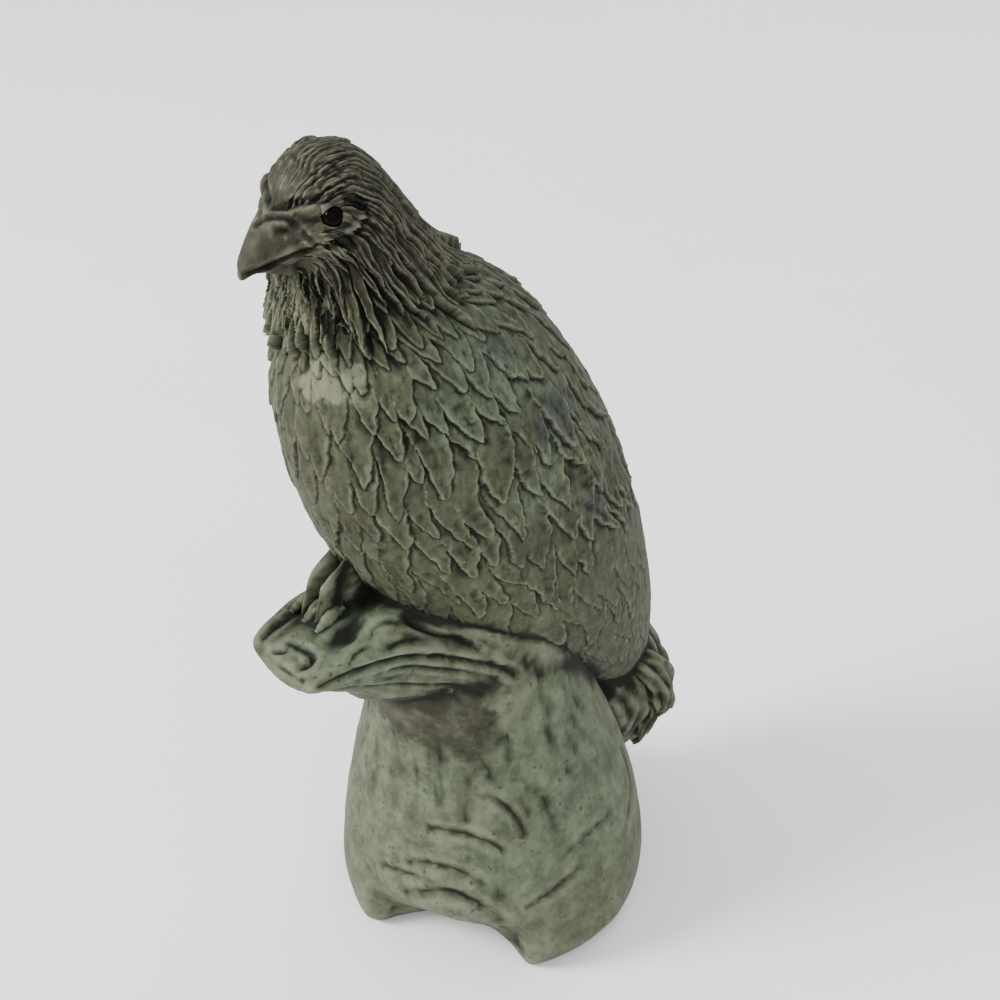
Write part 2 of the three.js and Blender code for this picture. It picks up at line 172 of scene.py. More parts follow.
# Face strokes on the bird's own left half, which are mirrored to the other half.
FACE_STROKES = [
    ((-2.8, -56.2, 227.2), (3, -52.7, 229.4), (7.9, -48.6, 231.1), 0.75, 1.2),
    ((7.9, -48.6, 231.1), (9.2, -44.7, 229.6), (9.6, -41.5, 226.3), 0.7, 0.8),
    ((-0.6, -56.4, 225.8), (4.6, -52.9, 227.8), (8, -50, 229.4), 0.9, -0.55),
    ((3.2, -54.8, 226), (6, -52.9, 226), (8.2, -51.6, 226.8), 1.2, 1.2),
    ((9.2, -51.4, 224.2), (10.1, -47.6, 222.2), (10.3, -43, 224.4), 0.7, 0.5),
    ((9.4, -51.4, 225.6), (10.3, -47.6, 224), (10.4, -43.6, 226.2), 0.6, -0.35),
    ((-2.6, -66, 214.6), (2.6, -57.2, 218.2), (7.4, -52.5, 220.9), 0.6, 1.2),
    ((7.4, -52.5, 220.9), (9.6, -49, 221.5), (10.8, -46.1, 220.6), 0.7, 1),
    ((1, -59, 219.2), (4.6, -54.4, 221), (8.6, -50.6, 222.6), 1.1, -0.4),
    ((-4.5, -60.1, 223.9), (-0.4, -56.6, 226), (4.4, -54.3, 223.3), 0.65, 0.8),
    ((4.4, -54.3, 223.3), (5.8, -53.6, 222.2), (7.2, -52.7, 221.2), 0.6, 0.6),
    ((0.6, -58, 223.4), (1.5, -57, 223.9), (2.6, -56.2, 223.7), 0.8, 1),
    ((2.9, -54.4, 214.6), (4.6, -52.6, 208), (8.8, -51, 200.2), 1, 1),
    ((-0.4, -55.2, 213), (1.2, -54.6, 206), (4, -54.2, 199), 1.4, -0.6),
    ((-2, -56.4, 213), (-1.6, -56.8, 206), (-0.4, -57, 199), 0.8, 0.7),
]
# A groove between the legs and one beside the near toe, on one side only.
LEG_STROKES = [
    ((-1.7, -44.5, 133), (-1.6, -46.5, 126.5), (-1, -48, 120.5), 2, 1.3),
    ((-3.6, -52, 126), (-3.6, -52.6, 122), (-3.6, -54, 118.5), 0.6, 0.4),
]
# Painted patches in millimetres: middle, reach, strength. Some middles were found like the
# strokes' places.
WORN_PATCHES = [
    ((7.5, -52.5, 190), 6, 1.3),
    ((3, -54.5, 187), 4, 1.1),
    ((13, -49, 192), 4, 0.9),
    ((12.5, -50, 187), 5, 0.7),
    ((-0.4, -53.1, 229.7), 3, 0.35),
    ((-3, -66, 220), 4, 0.35),
    ((24.2, -18, 90.5), 6, 0.8),
    ((29.7, -15.2, 74), 8, 0.35),
    ((14.5, -39, 112), 4, 0.4),
]
GREEN_PATCHES = [
    ((24, -22, 186), 22, 0.85),
    ((30, -6, 155), 18, 0.6),
    ((-26, -20, 180), 16, 0.6),
    ((33.1, -4.1, 71.8), 16, 0.8),
    ((37, 4.8, 55), 20, 0.9),
    ((36, -20, 40), 14, 0.5),
    ((19, -30.5, 66.8), 9, 0.5),
    ((6, -50, 117), 16, 1),
    ((-4, -52, 208), 9, 0.5),
    ((-36, -8, 50), 18, 0.7),
    ((-10, 38, 46), 20, 0.7),
]
# Brownish paint on the forehead, breast and stump, and painted shade under the branch, under the
# belly round the feet, where the branch meets the body and in the scallop at the stump's foot.
BROWN_AND_SHADE_PATCHES = [
    ((14, -33, 88), 9, 1),
    ((21, -25, 84), 8, 0.9),
    ((2, -41, 90), 9, 1),
    ((-1.2, -45, 127), 4.5, 1),
    ((3, -42, 123), 4.5, 0.9),
    ((-8, -46, 122), 5, 0.7),
    ((-11, -58, 116.5), 6, 1),
    ((-11.5, -66, 111.5), 5, 1),
    ((8, -65, 102), 4.5, 0.9),
    ((12.5, -37, 117.5), 5, 1),
    ((19, -28, 112), 4.5, 0.8),
    ((23.5, -14, 103.5), 4, 0.5),
    ((8, -38, 82), 14, 0.85),
    ((-4, -40, 84), 14, 0.85),
    ((19, -30, 80), 12, 0.75),
    ((3, -48, 231), 7, 0.5),
    ((-2, -55, 168), 18, 0.46),
    ((8, -49, 150), 16, 0.42),
    ((-14, -52, 226), 7, 0.30),
    ((14.5, -30, 93), 9, 0.9),
    ((21, -22, 95), 8, 0.8),
    ((5.8, -36.2, 90), 9, 0.9),
    ((20, -30, 104), 6, 0.5),
    ((31, -5, 80), 6, 0.45),
    ((4.6, -35.6, 82), 11, 1),
    ((13.3, -32.4, 80), 10, 0.8),
    ((-14, -34, 82), 12, 0.8),
    ((20, -26, 92), 6, 0.5),
    ((24, -33, 12), 12, 0.7),
    ((2, -42, 25), 7, 0.5),
]
BLUE_PATCHES = [
    ((22.6, -16.6, 191.2), 9, 0.8),
    ((26.6, -1.5, 169.4), 11, 1),
    ((29, 11.9, 141.9), 10, 0.8),
    ((-30, 0, 175), 12, 0.7),
    ((0, 36, 165), 12, 0.6),
]

# The lamps' places in metres, widths and watts, and the camera at the photograph's angle.
LAMPS = (
    ("key", (-0.65, -1.25, 1.05), 0.6, 42.0),
    ("fill", (1.3, -0.5, 0.9), 1.4, 7.0),
    ("back", (-0.4, 1.3, 1.2), 1.2, 8.0),
)
LAMPS_AIM = (0, 0, 0.11)
CAMERA_PLACE = (0.2506, -0.2102, 0.3455)
CAMERA_AIM = (0, 0, 0.1331)
CAMERA_LENS, CAMERA_SENSOR, CAMERA_SHIFT = 54, 36, 0.008


def through(values, t):
    """A smooth curve through evenly spaced values, t from 0 to 1: each stretch is the cubic whose
    slope at a value is half the step between its neighbours, with the end values doubled."""
    values = np.asarray(values, float)
    place = np.clip(np.asarray(t, float), 0, 1) * (len(values) - 1)
    i = np.minimum(place.astype(int), len(values) - 2)
    f = place - i
    if values.ndim > 1:
        f = f[..., None]
    padded = np.concatenate([values[:1], values, values[-1:]])
    a, b, c, d = (padded[i + k] for k in range(4))
    return b + 0.5 * f * (c - a + f * (2 * a - 5 * b + 4 * c - d + f * (3 * (b - c) + d - a)))


def smoothstep(low, high, x):
    """0 below low, 1 above high, and 3t² - 2t³ between them."""
    t = np.clip((x - low) / (high - low), 0, 1)
    return t * t * (3 - 2 * t)


def bump(x, middle, width):
    """A bell: e to the power of minus the squared distance from the middle, in widths."""
    return np.exp(-(((x - middle) / width) ** 2))


def chance(i, j, seed):
    """A fixed scatter from 0 to 1 for whole numbers i and j: the fraction of a large sine."""
    return np.mod(np.sin(i * 12.9898 + j * 78.233 + seed * 37.719) * 43758.5453, 1.0)


def ripple(points, size, seed, octaves=3):
    """A wandering value from about -1 to 1: sine waves along scattered directions, about size
    millimetres long, and each octave half as long and half as strong."""
    scatter = np.random.default_rng(seed)
    total = np.zeros(points.shape[:-1])
    for octave in range(octaves):
        for _ in range(6):
            way = scatter.normal(size=3)
            way *= TAU * 2 ** octave / (size * np.linalg.norm(way))
            total += np.sin(points @ way + scatter.uniform(0, TAU)) / 2 ** octave
    return total / 3.2


def nearest_on_stroke(points, normals, stroke):
    """Distance over the surface from points to a bent stroke and the share along it: the stroke
    is the parabola through its three points in short straight steps, and the part of a gap that
    lies along the surface's normal is left out."""
    start, middle, end = (np.array(p, float) for p in stroke[:3])
    reach = 4 + 4 * stroke[3]
    low = np.minimum(np.minimum(start, middle), end) - reach
    high = np.maximum(np.maximum(start, middle), end) + reach
    near = np.all((points > low) & (points < high), axis=-1)
    distance = np.full(points.shape[:-1], 1e3)
    share = np.zeros(points.shape[:-1])
    t = np.linspace(0, 1, 13)[:, None]
    line = start * (1 - t) * (1 - 2 * t) + middle * 4 * t * (1 - t) + end * t * (2 * t - 1)
    steps = np.diff(line, axis=0)
    gaps = points[near][:, None, :] - line[None, :-1]
    f = np.clip((gaps * steps).sum(-1) / (steps ** 2).sum(-1), 0, 1)
    gaps = gaps - f[..., None] * steps
    lengths = np.linalg.norm(gaps, axis=-1)
    best = lengths.argmin(axis=1)
    rows = np.arange(len(best))
    gap, length = gaps[rows, best], lengths[rows, best]
    rise = np.clip(np.abs((gap * normals[near]).sum(-1)), 0, 4)
    distance[near] = np.sqrt(np.maximum(length ** 2 - rise ** 2, 0))
    share[near] = (best + f[rows, best]) / len(steps)
    return distance, share


def gouged(points, normals, strokes, mirror_x=None):
    """How far strokes sink a surface, in millimetres: each is a bell across its line, tapered
    at both ends, with a low raised lip beside it, and half as deep on the mirrored side."""
    sink = np.zeros(points.shape[:-1])
    halves = [(points, normals, 1.0)]
    if mirror_x is not None:
        turned = np.array([-1.0, 1.0, 1.0])
        halves.append((points * turned + [2 * mirror_x, 0, 0], normals * turned, 0.5))
    for stroke in strokes:
        for places, ways, share_of_depth in halves:
            distance, share = nearest_on_stroke(places, ways, stroke)
            width, depth = stroke[3], stroke[4] * share_of_depth
            taper = np.sin(np.pi * np.clip(0.08 + 0.84 * share, 0, 1)) ** 0.6
            lip = 0.22 * bump(distance, 2.1 * width, 0.8 * width) * (width < 2.2)
            sink += depth * taper * (bump(distance, 0, width) - lip)
    return sink


def patched(points, patches):
    """A mask from patches: each is a bell round its middle, and the strongest one counts."""
    mask = np.zeros(len(points))
    for middle, reach, strength in patches:
        gap = np.linalg.norm(points - np.array(middle), axis=1)
        mask = np.maximum(mask, strength * bump(gap, 0, reach))
    return mask


def grid_steps(points, along):
    """How far a ring grid moves per turn and per unit along, and its outward normal."""
    round_step = (np.roll(points, -1, 1) - np.roll(points, 1, 1)) * points.shape[1] / 2
    along_step = np.gradient(points, along, axis=0)
    normal = np.cross(along_step, round_step)
    normal /= np.linalg.norm(normal, axis=-1, keepdims=True) + 1e-9
    middle = points.mean(axis=1, keepdims=True)
    if ((points - middle) * normal).sum() < 0:
        normal = -normal
    return np.linalg.norm(round_step, axis=-1), np.linalg.norm(along_step, axis=-1), normal


def ring_grid(rings, sides):
    """Shares along from 0 to 1 as a column, and angles once round as a row."""
    return np.linspace(0, 1, rings)[:, None], (np.arange(sides) / sides * TAU)[None, :]


def ring_faces(rings, sides):
    """Triangles of a closed skin of rings, with a fan at each end round an added corner."""
    ring, side = np.arange(rings - 1)[:, None], np.arange(sides)[None, :]
    a = ring * sides + side
    b = ring * sides + (side + 1) % sides
    c, d = a + sides, b + sides
    first, last = rings * sides, rings * sides + 1
    rim, turned = np.arange(sides), (np.arange(sides) + 1) % sides
    base = (rings - 1) * sides
    return np.concatenate([
        np.stack([a, b, d], -1).reshape(-1, 3),
        np.stack([a, d, c], -1).reshape(-1, 3),
        np.stack([np.full(sides, first), turned, rim], -1),
        np.stack([np.full(sides, last), base + rim, base + turned], -1),
    ])


def solid(name, points, kind):
    """A closed mesh object from a ring grid in millimetres, turned right side out if its volume
    comes out negative. kind is PLUMAGE or WOOD, kept as its material index."""
    rings, sides = points.shape[:2]
    corners = np.concatenate([points.reshape(-1, 3), points[[0, -1]].mean(axis=1)]) * MM
    faces = ring_faces(rings, sides)
    a, b, c = (corners[faces[:, k]] for k in range(3))
    if (a * np.cross(b, c)).sum() < 0:
        faces = faces[:, ::-1]
    mesh = bpy.data.meshes.new(name)
    mesh.from_pydata(corners, [], faces)
    for _ in range(2):
        mesh.materials.append(None)
    mesh.polygons.foreach_set("material_index", np.full(len(faces), kind, np.int32))
    mesh.update()
    piece = bpy.data.objects.new(name, mesh)
    bpy.context.scene.collection.objects.link(piece)
    return piece


def applied(piece):
    """The piece with its modifiers worked into its mesh."""
    bpy.context.view_layer.update()
    baked = bpy.data.meshes.new_from_object(
        piece.evaluated_get(bpy.context.evaluated_depsgraph_get())
    )
    piece.modifiers.clear()
    old, piece.data = piece.data, baked
    bpy.data.meshes.remove(old)
    return piece


def joined(piece, others, operation="UNION"):
    """The piece with each other solid joined to it, or cut from it. A join that loses half the
    corners has failed, and the slower solver then has its turn."""
    for other in others:
        corners = len(piece.data.vertices)
        kept = piece.data.copy()
        for solver in ("MANIFOLD", "EXACT"):
            cut = piece.modifiers.new("join", "BOOLEAN")
            cut.operation, cut.solver, cut.object = operation, solver, other
            applied(piece)
            if len(piece.data.vertices) > 0.5 * corners:
                break
            piece.data = kept.copy()
        else:
            raise RuntimeError(f"{other.name} can't be joined to {piece.name}")
        bpy.data.meshes.remove(kept)
        bpy.data.objects.remove(other)
    return piece


def read(items, name, kind=np.int32, width=1):
    """One value, or a row of width values, for each of a mesh's items."""
    flat = np.zeros(len(items) * width, kind)
    items.foreach_get(name, flat)
    return flat.reshape(-1, width) if width > 1 else flat


def corners_of(mesh):
    """The mesh's corners, in millimetres."""
    return read(mesh.vertices, "co", np.float32, 3).astype(float) / MM


def normals_of(mesh):
    """The mesh's corner normals."""
    return read(mesh.vertices, "normal", np.float32, 3).astype(float)


def edges_of(mesh):
    """The mesh's edges as pairs of corner numbers."""
    return read(mesh.edges, "vertices", width=2)


def move_corners(mesh, points):
    """Puts the mesh's corners at these places, given in millimetres."""
    mesh.vertices.foreach_set("co", (points * MM).astype(np.float32).ravel())
    mesh.update()


def limb(name, path, radii, rings, sides, flat, sculpt):
    """A bent, tapering limb: a ring at each step of a smooth path, across its direction, with
    a radius that runs smoothly through the given ones. flat scales each ring one way, and
    sculpt adds to the radius by angle and share along."""
    along, angle = ring_grid(rings, sides)
    fine = through(np.array(path, float), np.linspace(0, 1, 400))
    lengths = np.concatenate([[0], np.linalg.norm(np.diff(fine, axis=0), axis=1).cumsum()])
    middle = np.stack([
        np.interp(along[:, 0] * lengths[-1], lengths, fine[:, k]) for k in range(3)
    ], -1)
    way = np.gradient(middle, axis=0)
    way /= np.linalg.norm(way, axis=1, keepdims=True)
    across = np.cross(way, [0.0, 0.0, 1.0])
    across[np.linalg.norm(across, axis=1) < 0.2] = [1.0, 0.0, 0.0]
    across = across - (across * way).sum(1, keepdims=True) * way
    across /= np.linalg.norm(across, axis=1, keepdims=True)
    other = np.cross(way, across)
    radius = through(radii, along) + sculpt(angle, along)
    points = (
        middle[:, None]
        + across[:, None] * (np.cos(angle) * radius)[..., None]
        + other[:, None] * (np.sin(angle) * radius * flat)[..., None]
    )
    return solid(name, points, PLUMAGE)


def size(name, description, default):
    """A length that a user can change, in metres."""
    return bpy.props.FloatProperty(
        name=name, description=description, default=default, unit="LENGTH")


def count(name, description, default):
    """A whole number that a user can change."""
    return bpy.props.IntProperty(name=name, description=description, default=default)


def tint(name, description, default):
    """A colour that a user can change."""
    return bpy.props.FloatVectorProperty(
        name=name, description=description, default=default, subtype="COLOR", size=3)


class BirdSizes(bpy.types.PropertyGroup):
    height: size("Bird height", "From the branch to a little above the crown", 0.121)
    aside: size("Bird aside", "How far the bird sits to the left of the stump's middle", 0.004)
    feather_columns: count("Feathers round the body", "Body feathers in one row", 36)
    feather_rows: count("Feather rows", "Rows from the ruff to the rump", 15)
    feather_height: size(
        "Feather height", "How far a feather's tip stands off the next one", 0.0014)
    hackle_columns: count("Hackles round the neck", "Neck strands in one tier", 46)
    hackle_tiers: count("Hackle tiers", "Tiers of neck strands", 3)
    hackle_height: size("Hackle height", "How far a neck strand stands off the next one", 0.0021)
    ruff_thickness: size("Ruff thickness", "How far the ruff stands off the shoulders", 0.0017)
    beak_length: size("Beak length", "From the gape to the tip", 0.022)
    eye_diameter: size("Eye diameter", "Across one bead", 0.005)


class PerchSizes(bpy.types.PropertyGroup):
    stump_radius: size("Stump radius", "At the foot", 0.044)
    stump_height: size("Stump height", "Without the branch", 0.098)
    perch_rise: size("Perch rise", "From the stump's top to the branch's top", 0.022)
    branch_reach: size("Branch reach", "From the stump's middle to the branch's end", 0.068)
    branch_width: size("Branch width", "Scale of the branch across", 0.044)
    branch_depth: size("Branch depth", "Scale of the branch's height", 0.046)


class StoneColours(bpy.types.PropertyGroup):
    plumage: tint("Plumage", "Olive grey of the feathers", (0.052, 0.055, 0.030))
    wood: tint("Wood", "Paler grey of the stump", (0.079, 0.088, 0.052))
    green: tint(
        "Green patina", "Green that clouds the wood and the branch", (0.079, 0.101, 0.062))
    # This colour is brownish paint, and it is also the painted shade under the branch, under the
    # belly and at the stump's foot.
    brown: tint(
        "Brown wash", "Brown under the branch and in the hollows", (0.026, 0.0235, 0.0135))
    blue: tint("Blue shade", "Cold dark patches on the back", (0.034, 0.041, 0.037))
    # Painted shade: this near black darkens the creases and broad hollows of the carving, and it
    # also colours the dark specks.
    dark: tint("Crevice", "Dark stain that sits in the carving", (0.0036, 0.0034, 0.0022))
    rubbed: tint("Rubbed edge", "Pale stone where edges are worn", (0.230, 0.230, 0.160))


class StageSizes(bpy.types.PropertyGroup):
    floor_width: size("Floor width", "Across the floor sheet", 6.0)
    floor_colour: tint("Floor colour", "Pale neutral floor", (0.94, 0.94, 0.92))


class Layout:
    """Lengths in millimetres that several pieces share."""

    def __init__(self, scene):
        bird, perch = scene.carving_bird, scene.carving_perch
        self.bird, self.perch = bird, perch
        self.height = bird.height / MM
        self.aside = -bird.aside / MM
        self.top = (perch.stump_height + perch.perch_rise) / MM
        self.eye_radius = bird.eye_diameter / MM / 2
        self.eye_turns = {"left": 0.215, "right": 1 - 0.215}
        self.eye_along = 0.150

    def stations(self, along):
        """Belly y and z, back y and z and half width, through the bird's stations."""
        return [through(column, along) * self.height for column in BIRD.T]

    def skin(self, turn, along):
        """The bare bird: an ellipse across each station, from the back (turn 0) round the left
        side to the breast (turn 0.5) and on, shifted down from the back's place to the belly's."""
        belly_y, belly_z, back_y, back_z, half = self.stations(along)
        angle = turn * TAU
        share = (1 + np.cos(angle)) / 2
        return np.stack([
            self.aside + half * np.sin(angle),
            belly_y + (back_y - belly_y) * share,
            self.top + belly_z + (back_z - belly_z) * share,
        ], -1)

    def eye_place(self, turn):
        """The middle of an eye bead and its outward direction: half a radius under the skin."""
        turn, along = np.array(turn), np.array(self.eye_along)
        belly_y, belly_z, back_y, back_z, half = self.stations(along)
        angle = turn * TAU
        out = np.array([
            half * np.sin(angle), (back_y - belly_y) / 2 * np.cos(angle),
            (back_z - belly_z) / 2 * np.cos(angle),
        ])
        out /= np.linalg.norm(out)
        return self.skin(turn, along) - 0.5 * self.eye_radius * out, out


def blades(across, rows_along, columns, rows, tip, power, jitter, lean, seed, sizes, profile,
           groove, under):
    """Overlapping blades like roof tiles. Blade edges are a power curve back from each tip, every
    other row is offset by half a blade, and blades nearer the head lie over the next row. tip is
    how far an edge runs back, jitter scatters tips and lean turns blades aside. sizes are a
    blade's width and a row's length. profile gives a blade's height from the share of the way to
    its tip, the share aside, the millimetres in from its edge and its own chance. groove is the
    depth and width of the crease outside an edge, and under is the height where no blade lies."""
    blade_width, row_length = sizes
    u = across * columns
    lift = np.zeros(u.shape) + under
    base = np.floor(rows_along)
    for step in (2, 1, 0, -1):
        row = base + step
        real = (row >= 0) & (row < rows)
        shift = 0.5 * np.mod(row, 2)
        near = np.round(u - shift)
        best = np.full(u.shape, -1e3)
        side, own = np.zeros(u.shape), np.zeros(u.shape)
        for nudge in (0, 1):
            column = near + nudge * np.where(u - shift - near > 0, 1, -1)
            key = np.mod(column, columns)
            first, second, third = (chance(key, row, seed + k) for k in range(3))
            middle = column + shift + 0.5 * jitter * (first - 0.5)
            middle = middle + lean * (second - 0.5) * (rows_along - row)
            aside = (u - middle) / (0.58 + 0.20 * (third - 0.5))
            edge = row + 1 + jitter * (second - 0.5)
            edge = edge - tip * np.abs(aside) ** (power + 0.5 * (first - 0.5))
            better = edge > best
            best = np.where(better, edge, best)
            side = np.where(better, aside, side)
            own = np.where(better, third, own)
        slope = tip * power * np.abs(side) ** (power - 1) * row_length / (0.56 * blade_width)
        gap = (best - rows_along) * row_length / np.sqrt(1 + slope ** 2)
        rise = np.clip(1 - (best - rows_along) / 1.3, 0, 1)
        over = smoothstep(-0.20, 0.34, gap) * real
        crease = groove[0] * np.exp(-np.maximum(-gap, 0) / groove[1]) * real
        lift = (lift - crease) * (1 - over) + profile(rise, side, np.maximum(gap, 0), own) * over
    return lift


def plumage_lift(layout, turn, along, points, round_step, along_step, normal):
    """How far the plumage stands off the bare bird, in millimetres: rows of body feathers, the
    tiers of the ruff laid over them, fine strands on the crown and a fuller forehead. Ripples
    bend the rows and fray their rims. The ruff lies flat round the eyes."""
    bird = layout.bird
    ruff_start, ruff_end, body_start, eye_clearing = 0.115, 0.405, 0.335, 5.0
    wander = 0.008 * ripple(points, 30, 5, 1)
    level = along - 0.028 * np.cos(turn * TAU) * bump(along, ruff_end, 0.14) + wander
    level = level + 0.0022 * ripple(points, 7, 6, 2) + 0.0012 * ripple(points, 3.2, 7, 2)
    sway = turn + 0.005 * ripple(points, 22, 9, 1) + 0.0014 * ripple(points, 5, 10, 3)

    rows, columns = bird.feather_rows, bird.feather_columns
    length = (1 - body_start) / rows
    height = bird.feather_height / MM

    broken = smoothstep(-0.5, 0.5, ripple(points, 8, 19, 2))
    chips = ripple(points, 4.5, 20, 2)

    def feather(rise, side, inside, own):
        """Rises to its tip, round across, with a broken rim and a sunk quill."""
        blade = height * (0.35 + 0.65 * own) * rise ** 1.4
        blade = blade + 0.20 * height * np.clip(1 - side ** 2, 0, 1)
        blade = blade + 0.15 * broken * bump(inside, 0.50, 0.38) + 0.06 * chips
        quill = 0.07 * bump(side, 0.1 * (own - 0.5), 0.10) * smoothstep(0.2, 0.6, rise)
        return blade - quill - 0.45 * height

    body = blades(
        sway, (level - body_start) / length, columns, rows + 4, 0.95, 1.75, 0.95, 0.90, 23,
        (round_step / columns, along_step * length), feather, (0.70, 0.50), 0.0,
    )
    soft = (1 + 0.40 * ripple(points, 30, 77, 1)) * (1 - 0.50 * bump(turn, 0.5, 0.13))
    soft = soft * (1 - 0.55 * smoothstep(0.74, 0.92, along))
    streaks = ripple(points * np.array([1, 1, 0.16]), 3.6, 31, 2)
    body = body * soft + 0.15 * streaks * (bump(turn, 0.5, 0.16) + smoothstep(0.6, 0.85, along))
    near_branch = 0.30 + 0.70 * smoothstep(110, 134, points[..., 2])
    body = body * (1 - smoothstep(0.92, 1.0, along)) * near_branch

    tiers, columns = bird.hackle_tiers, bird.hackle_columns
    tier = (ruff_end - ruff_start) / tiers
    depth = smoothstep(0.11, 0.21, level) * (1 - 0.30 * bump(turn, 0.5, 0.11))
    wave = sway + 0.0050 * ripple(points, 13, 3, 2)
    height = bird.hackle_height / MM
    ruff = bird.ruff_thickness / MM * smoothstep(0.18, 0.36, level)
    ruff = ruff * (0.75 - 0.25 * np.cos(turn * TAU))

    for eye in layout.eye_turns.values():
        away = np.linalg.norm(points - layout.eye_place(eye)[0], axis=-1)
        depth = depth * (1 - 0.85 * bump(away, 0, eye_clearing))

    def hackle(rise, side, inside, own):
        """Rises to its tip, flat across, and splits into strands."""
        strand = np.clip(1 - side ** 4, 0, 1) ** 0.8
        split = np.cos(side * 7.5 + 5 * own) * smoothstep(0.0, 0.5, rise)
        blade = 0.62 * rise ** 1.3 + 0.50 * strand + 0.10 * split - 0.35
        return depth * (height * blade + 0.10 * bump(inside, 0.40, 0.35)) + ruff

    lift = blades(
        wave, (level - ruff_start) / tier, columns, tiers, 1.05, 1.2, 0.85, 0.8, 11,
        (round_step / columns, along_step * tier), hackle, (1.15, 0.6), body,
    )
    crown = smoothstep(0.085, 0.13, level) * (1 - smoothstep(0.14, 0.24, level))
    grain = np.sin((sway * 46 + 1.4 * ripple(points, 9, 14, 2)) * TAU * 0.62)
    top = smoothstep(0.10, 0.02, np.abs(turn - np.round(turn)) - 0.10)
    lift = lift + 0.36 * crown * np.minimum(grain, 0.45) * top
    lift = lift + 0.07 * ripple(points, 7, 40, 3)
    forehead = bump(level, 0.080, 0.040) * smoothstep(0.1, 0.6, np.cos(turn * TAU))
    return lift + 0.35 * forehead


def bird_body(layout):
    """The bird without beak, tail and feet: its bare skin on a fine ring grid, lifted along
    its normals by the plumage."""
    sides, rings = ((760, 700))
    trial = np.linspace(0, 1, 800)
    back, belly = layout.skin(np.array(0.0), trial), layout.skin(np.array(0.5), trial)
    flank = layout.skin(np.array(0.25), trial)
    step = sum(np.linalg.norm(np.diff(line, axis=0), axis=1) for line in (back, belly, flank))
    walked = np.concatenate([[0], step.cumsum()])
    along = np.interp(np.linspace(0, walked[-1], rings), walked, trial)
    turn = np.arange(sides) / sides
    turns, alongs = np.meshgrid(turn, along)
    points = layout.skin(turns, alongs)
    round_step, along_step, normal = grid_steps(points, along)
    lift = plumage_lift(layout, turns, alongs, points, round_step, along_step, normal)
    points = points + normal * lift[..., None]
    return solid("bird_body", points, PLUMAGE)


def beak_piece(layout):
    """The beak: rings from the gape to the hooked tip, the upper half from ridge to mouth line
    and a slightly narrower lower half, sunk a little where it meets the forehead."""
    length = layout.bird.beak_length / MM
    sides, rings = 120, 110
    along, angle = ring_grid(rings, sides)
    forward, ridge, mouth, under, half = (through(column, along) * length for column in BEAK.T)
    up = np.cos(angle)
    upper = smoothstep(-0.16, -0.04, up)
    out = np.sign(np.sin(angle)) * np.abs(np.sin(angle)) ** 0.85
    tip = np.array([
        layout.aside, -0.541 * layout.height, layout.top + 0.780 * layout.height,
    ])
    offset = np.stack([
        half * out * (0.8 + 0.2 * upper),
        np.broadcast_to(length - forward, (rings, sides)),
        mouth + np.where(up > 0, (ridge - mouth) * up, (mouth - under) * up),
    ], -1)
    points = tip + offset
    _, _, normal = grid_steps(points, along[:, 0])
    lift = -0.8 * smoothstep(0.66, 0.36, forward / length) * smoothstep(0.0, 0.5, up)
    lift = lift + 0.03 * ripple(points, 6, 51, 3)
    return solid("beak", points + normal * lift[..., None], PLUMAGE)


def tail_piece(layout):
    """The tail: a core with a ragged fan of curled strands round it, each with twisted ridges."""
    width, length = 34.0, 43.0
    top = np.array([
        layout.aside + 2.0, 0.32 * layout.height, layout.top - 0.45 * layout.height,
    ])

    def place(aside, back, down):
        """A place by shares of the tail's width and length."""
        return top + np.array([aside * width, back * length, -down * length])

    def ridges(count, twist, depth, phase):
        """Waves round a strand that wind along it and fade at both ends."""
        return lambda angle, along: depth * (
            np.cos(count * angle + twist * along + 1.6 * np.sin(8 * along + phase) + phase)
            + 0.55 * np.cos((count * 2 + 1) * angle - 2.4 * np.sin(6 * along + 2 * phase))
            + 0.35 * np.cos(13 * along + 5 * np.sin(2 * angle + phase) + 3 * phase)
        ) * np.sin(np.pi * np.clip(along, 0.02, 0.98)) ** 0.4

    core = limb(
        "tail", [place(0, -0.1, -0.1), place(0, 0.16, 0.22), place(0, 0.27, 0.6),
                 place(0, 0.24, 0.92)],
        np.array([0.34, 0.42, 0.42, 0.28]) * width, 60, 96, 1.25, ridges(11, 2.2, 0.55, 0.4),
    )
    lobes = []
    for i in range(7):
        u = 2 * i / 6 - 1
        inner = i % 2
        drop = 0.84 - 0.14 * u * u + (0.18 if inner else 0)
        drop += 0.06 * (float(chance(i, 3, 0)) - 0.5)
        back = (0.62 - 0.16 * u * u) * (0.72 if inner else 1)
        path = [
            place(0.26 * u, 0.1, 0.02), place(0.36 * u, back * 0.74, 0.28),
            place(0.38 * u, back, 0.58), place(0.37 * u, back * 0.95, drop - 0.06),
            place(0.34 * u, back * 0.82, drop),
        ]
        lobes.append(limb(
            f"tail_lobe_{i}", path, np.array([0.35, 0.55, 0.60, 0.46, 0.15]) * 0.30 * width,
            90, 80, 1.0, ridges(5, 1.5 * (1 if i % 2 else -1), 0.75, 1.3 * i),
        ))
    return joined(core, lobes)


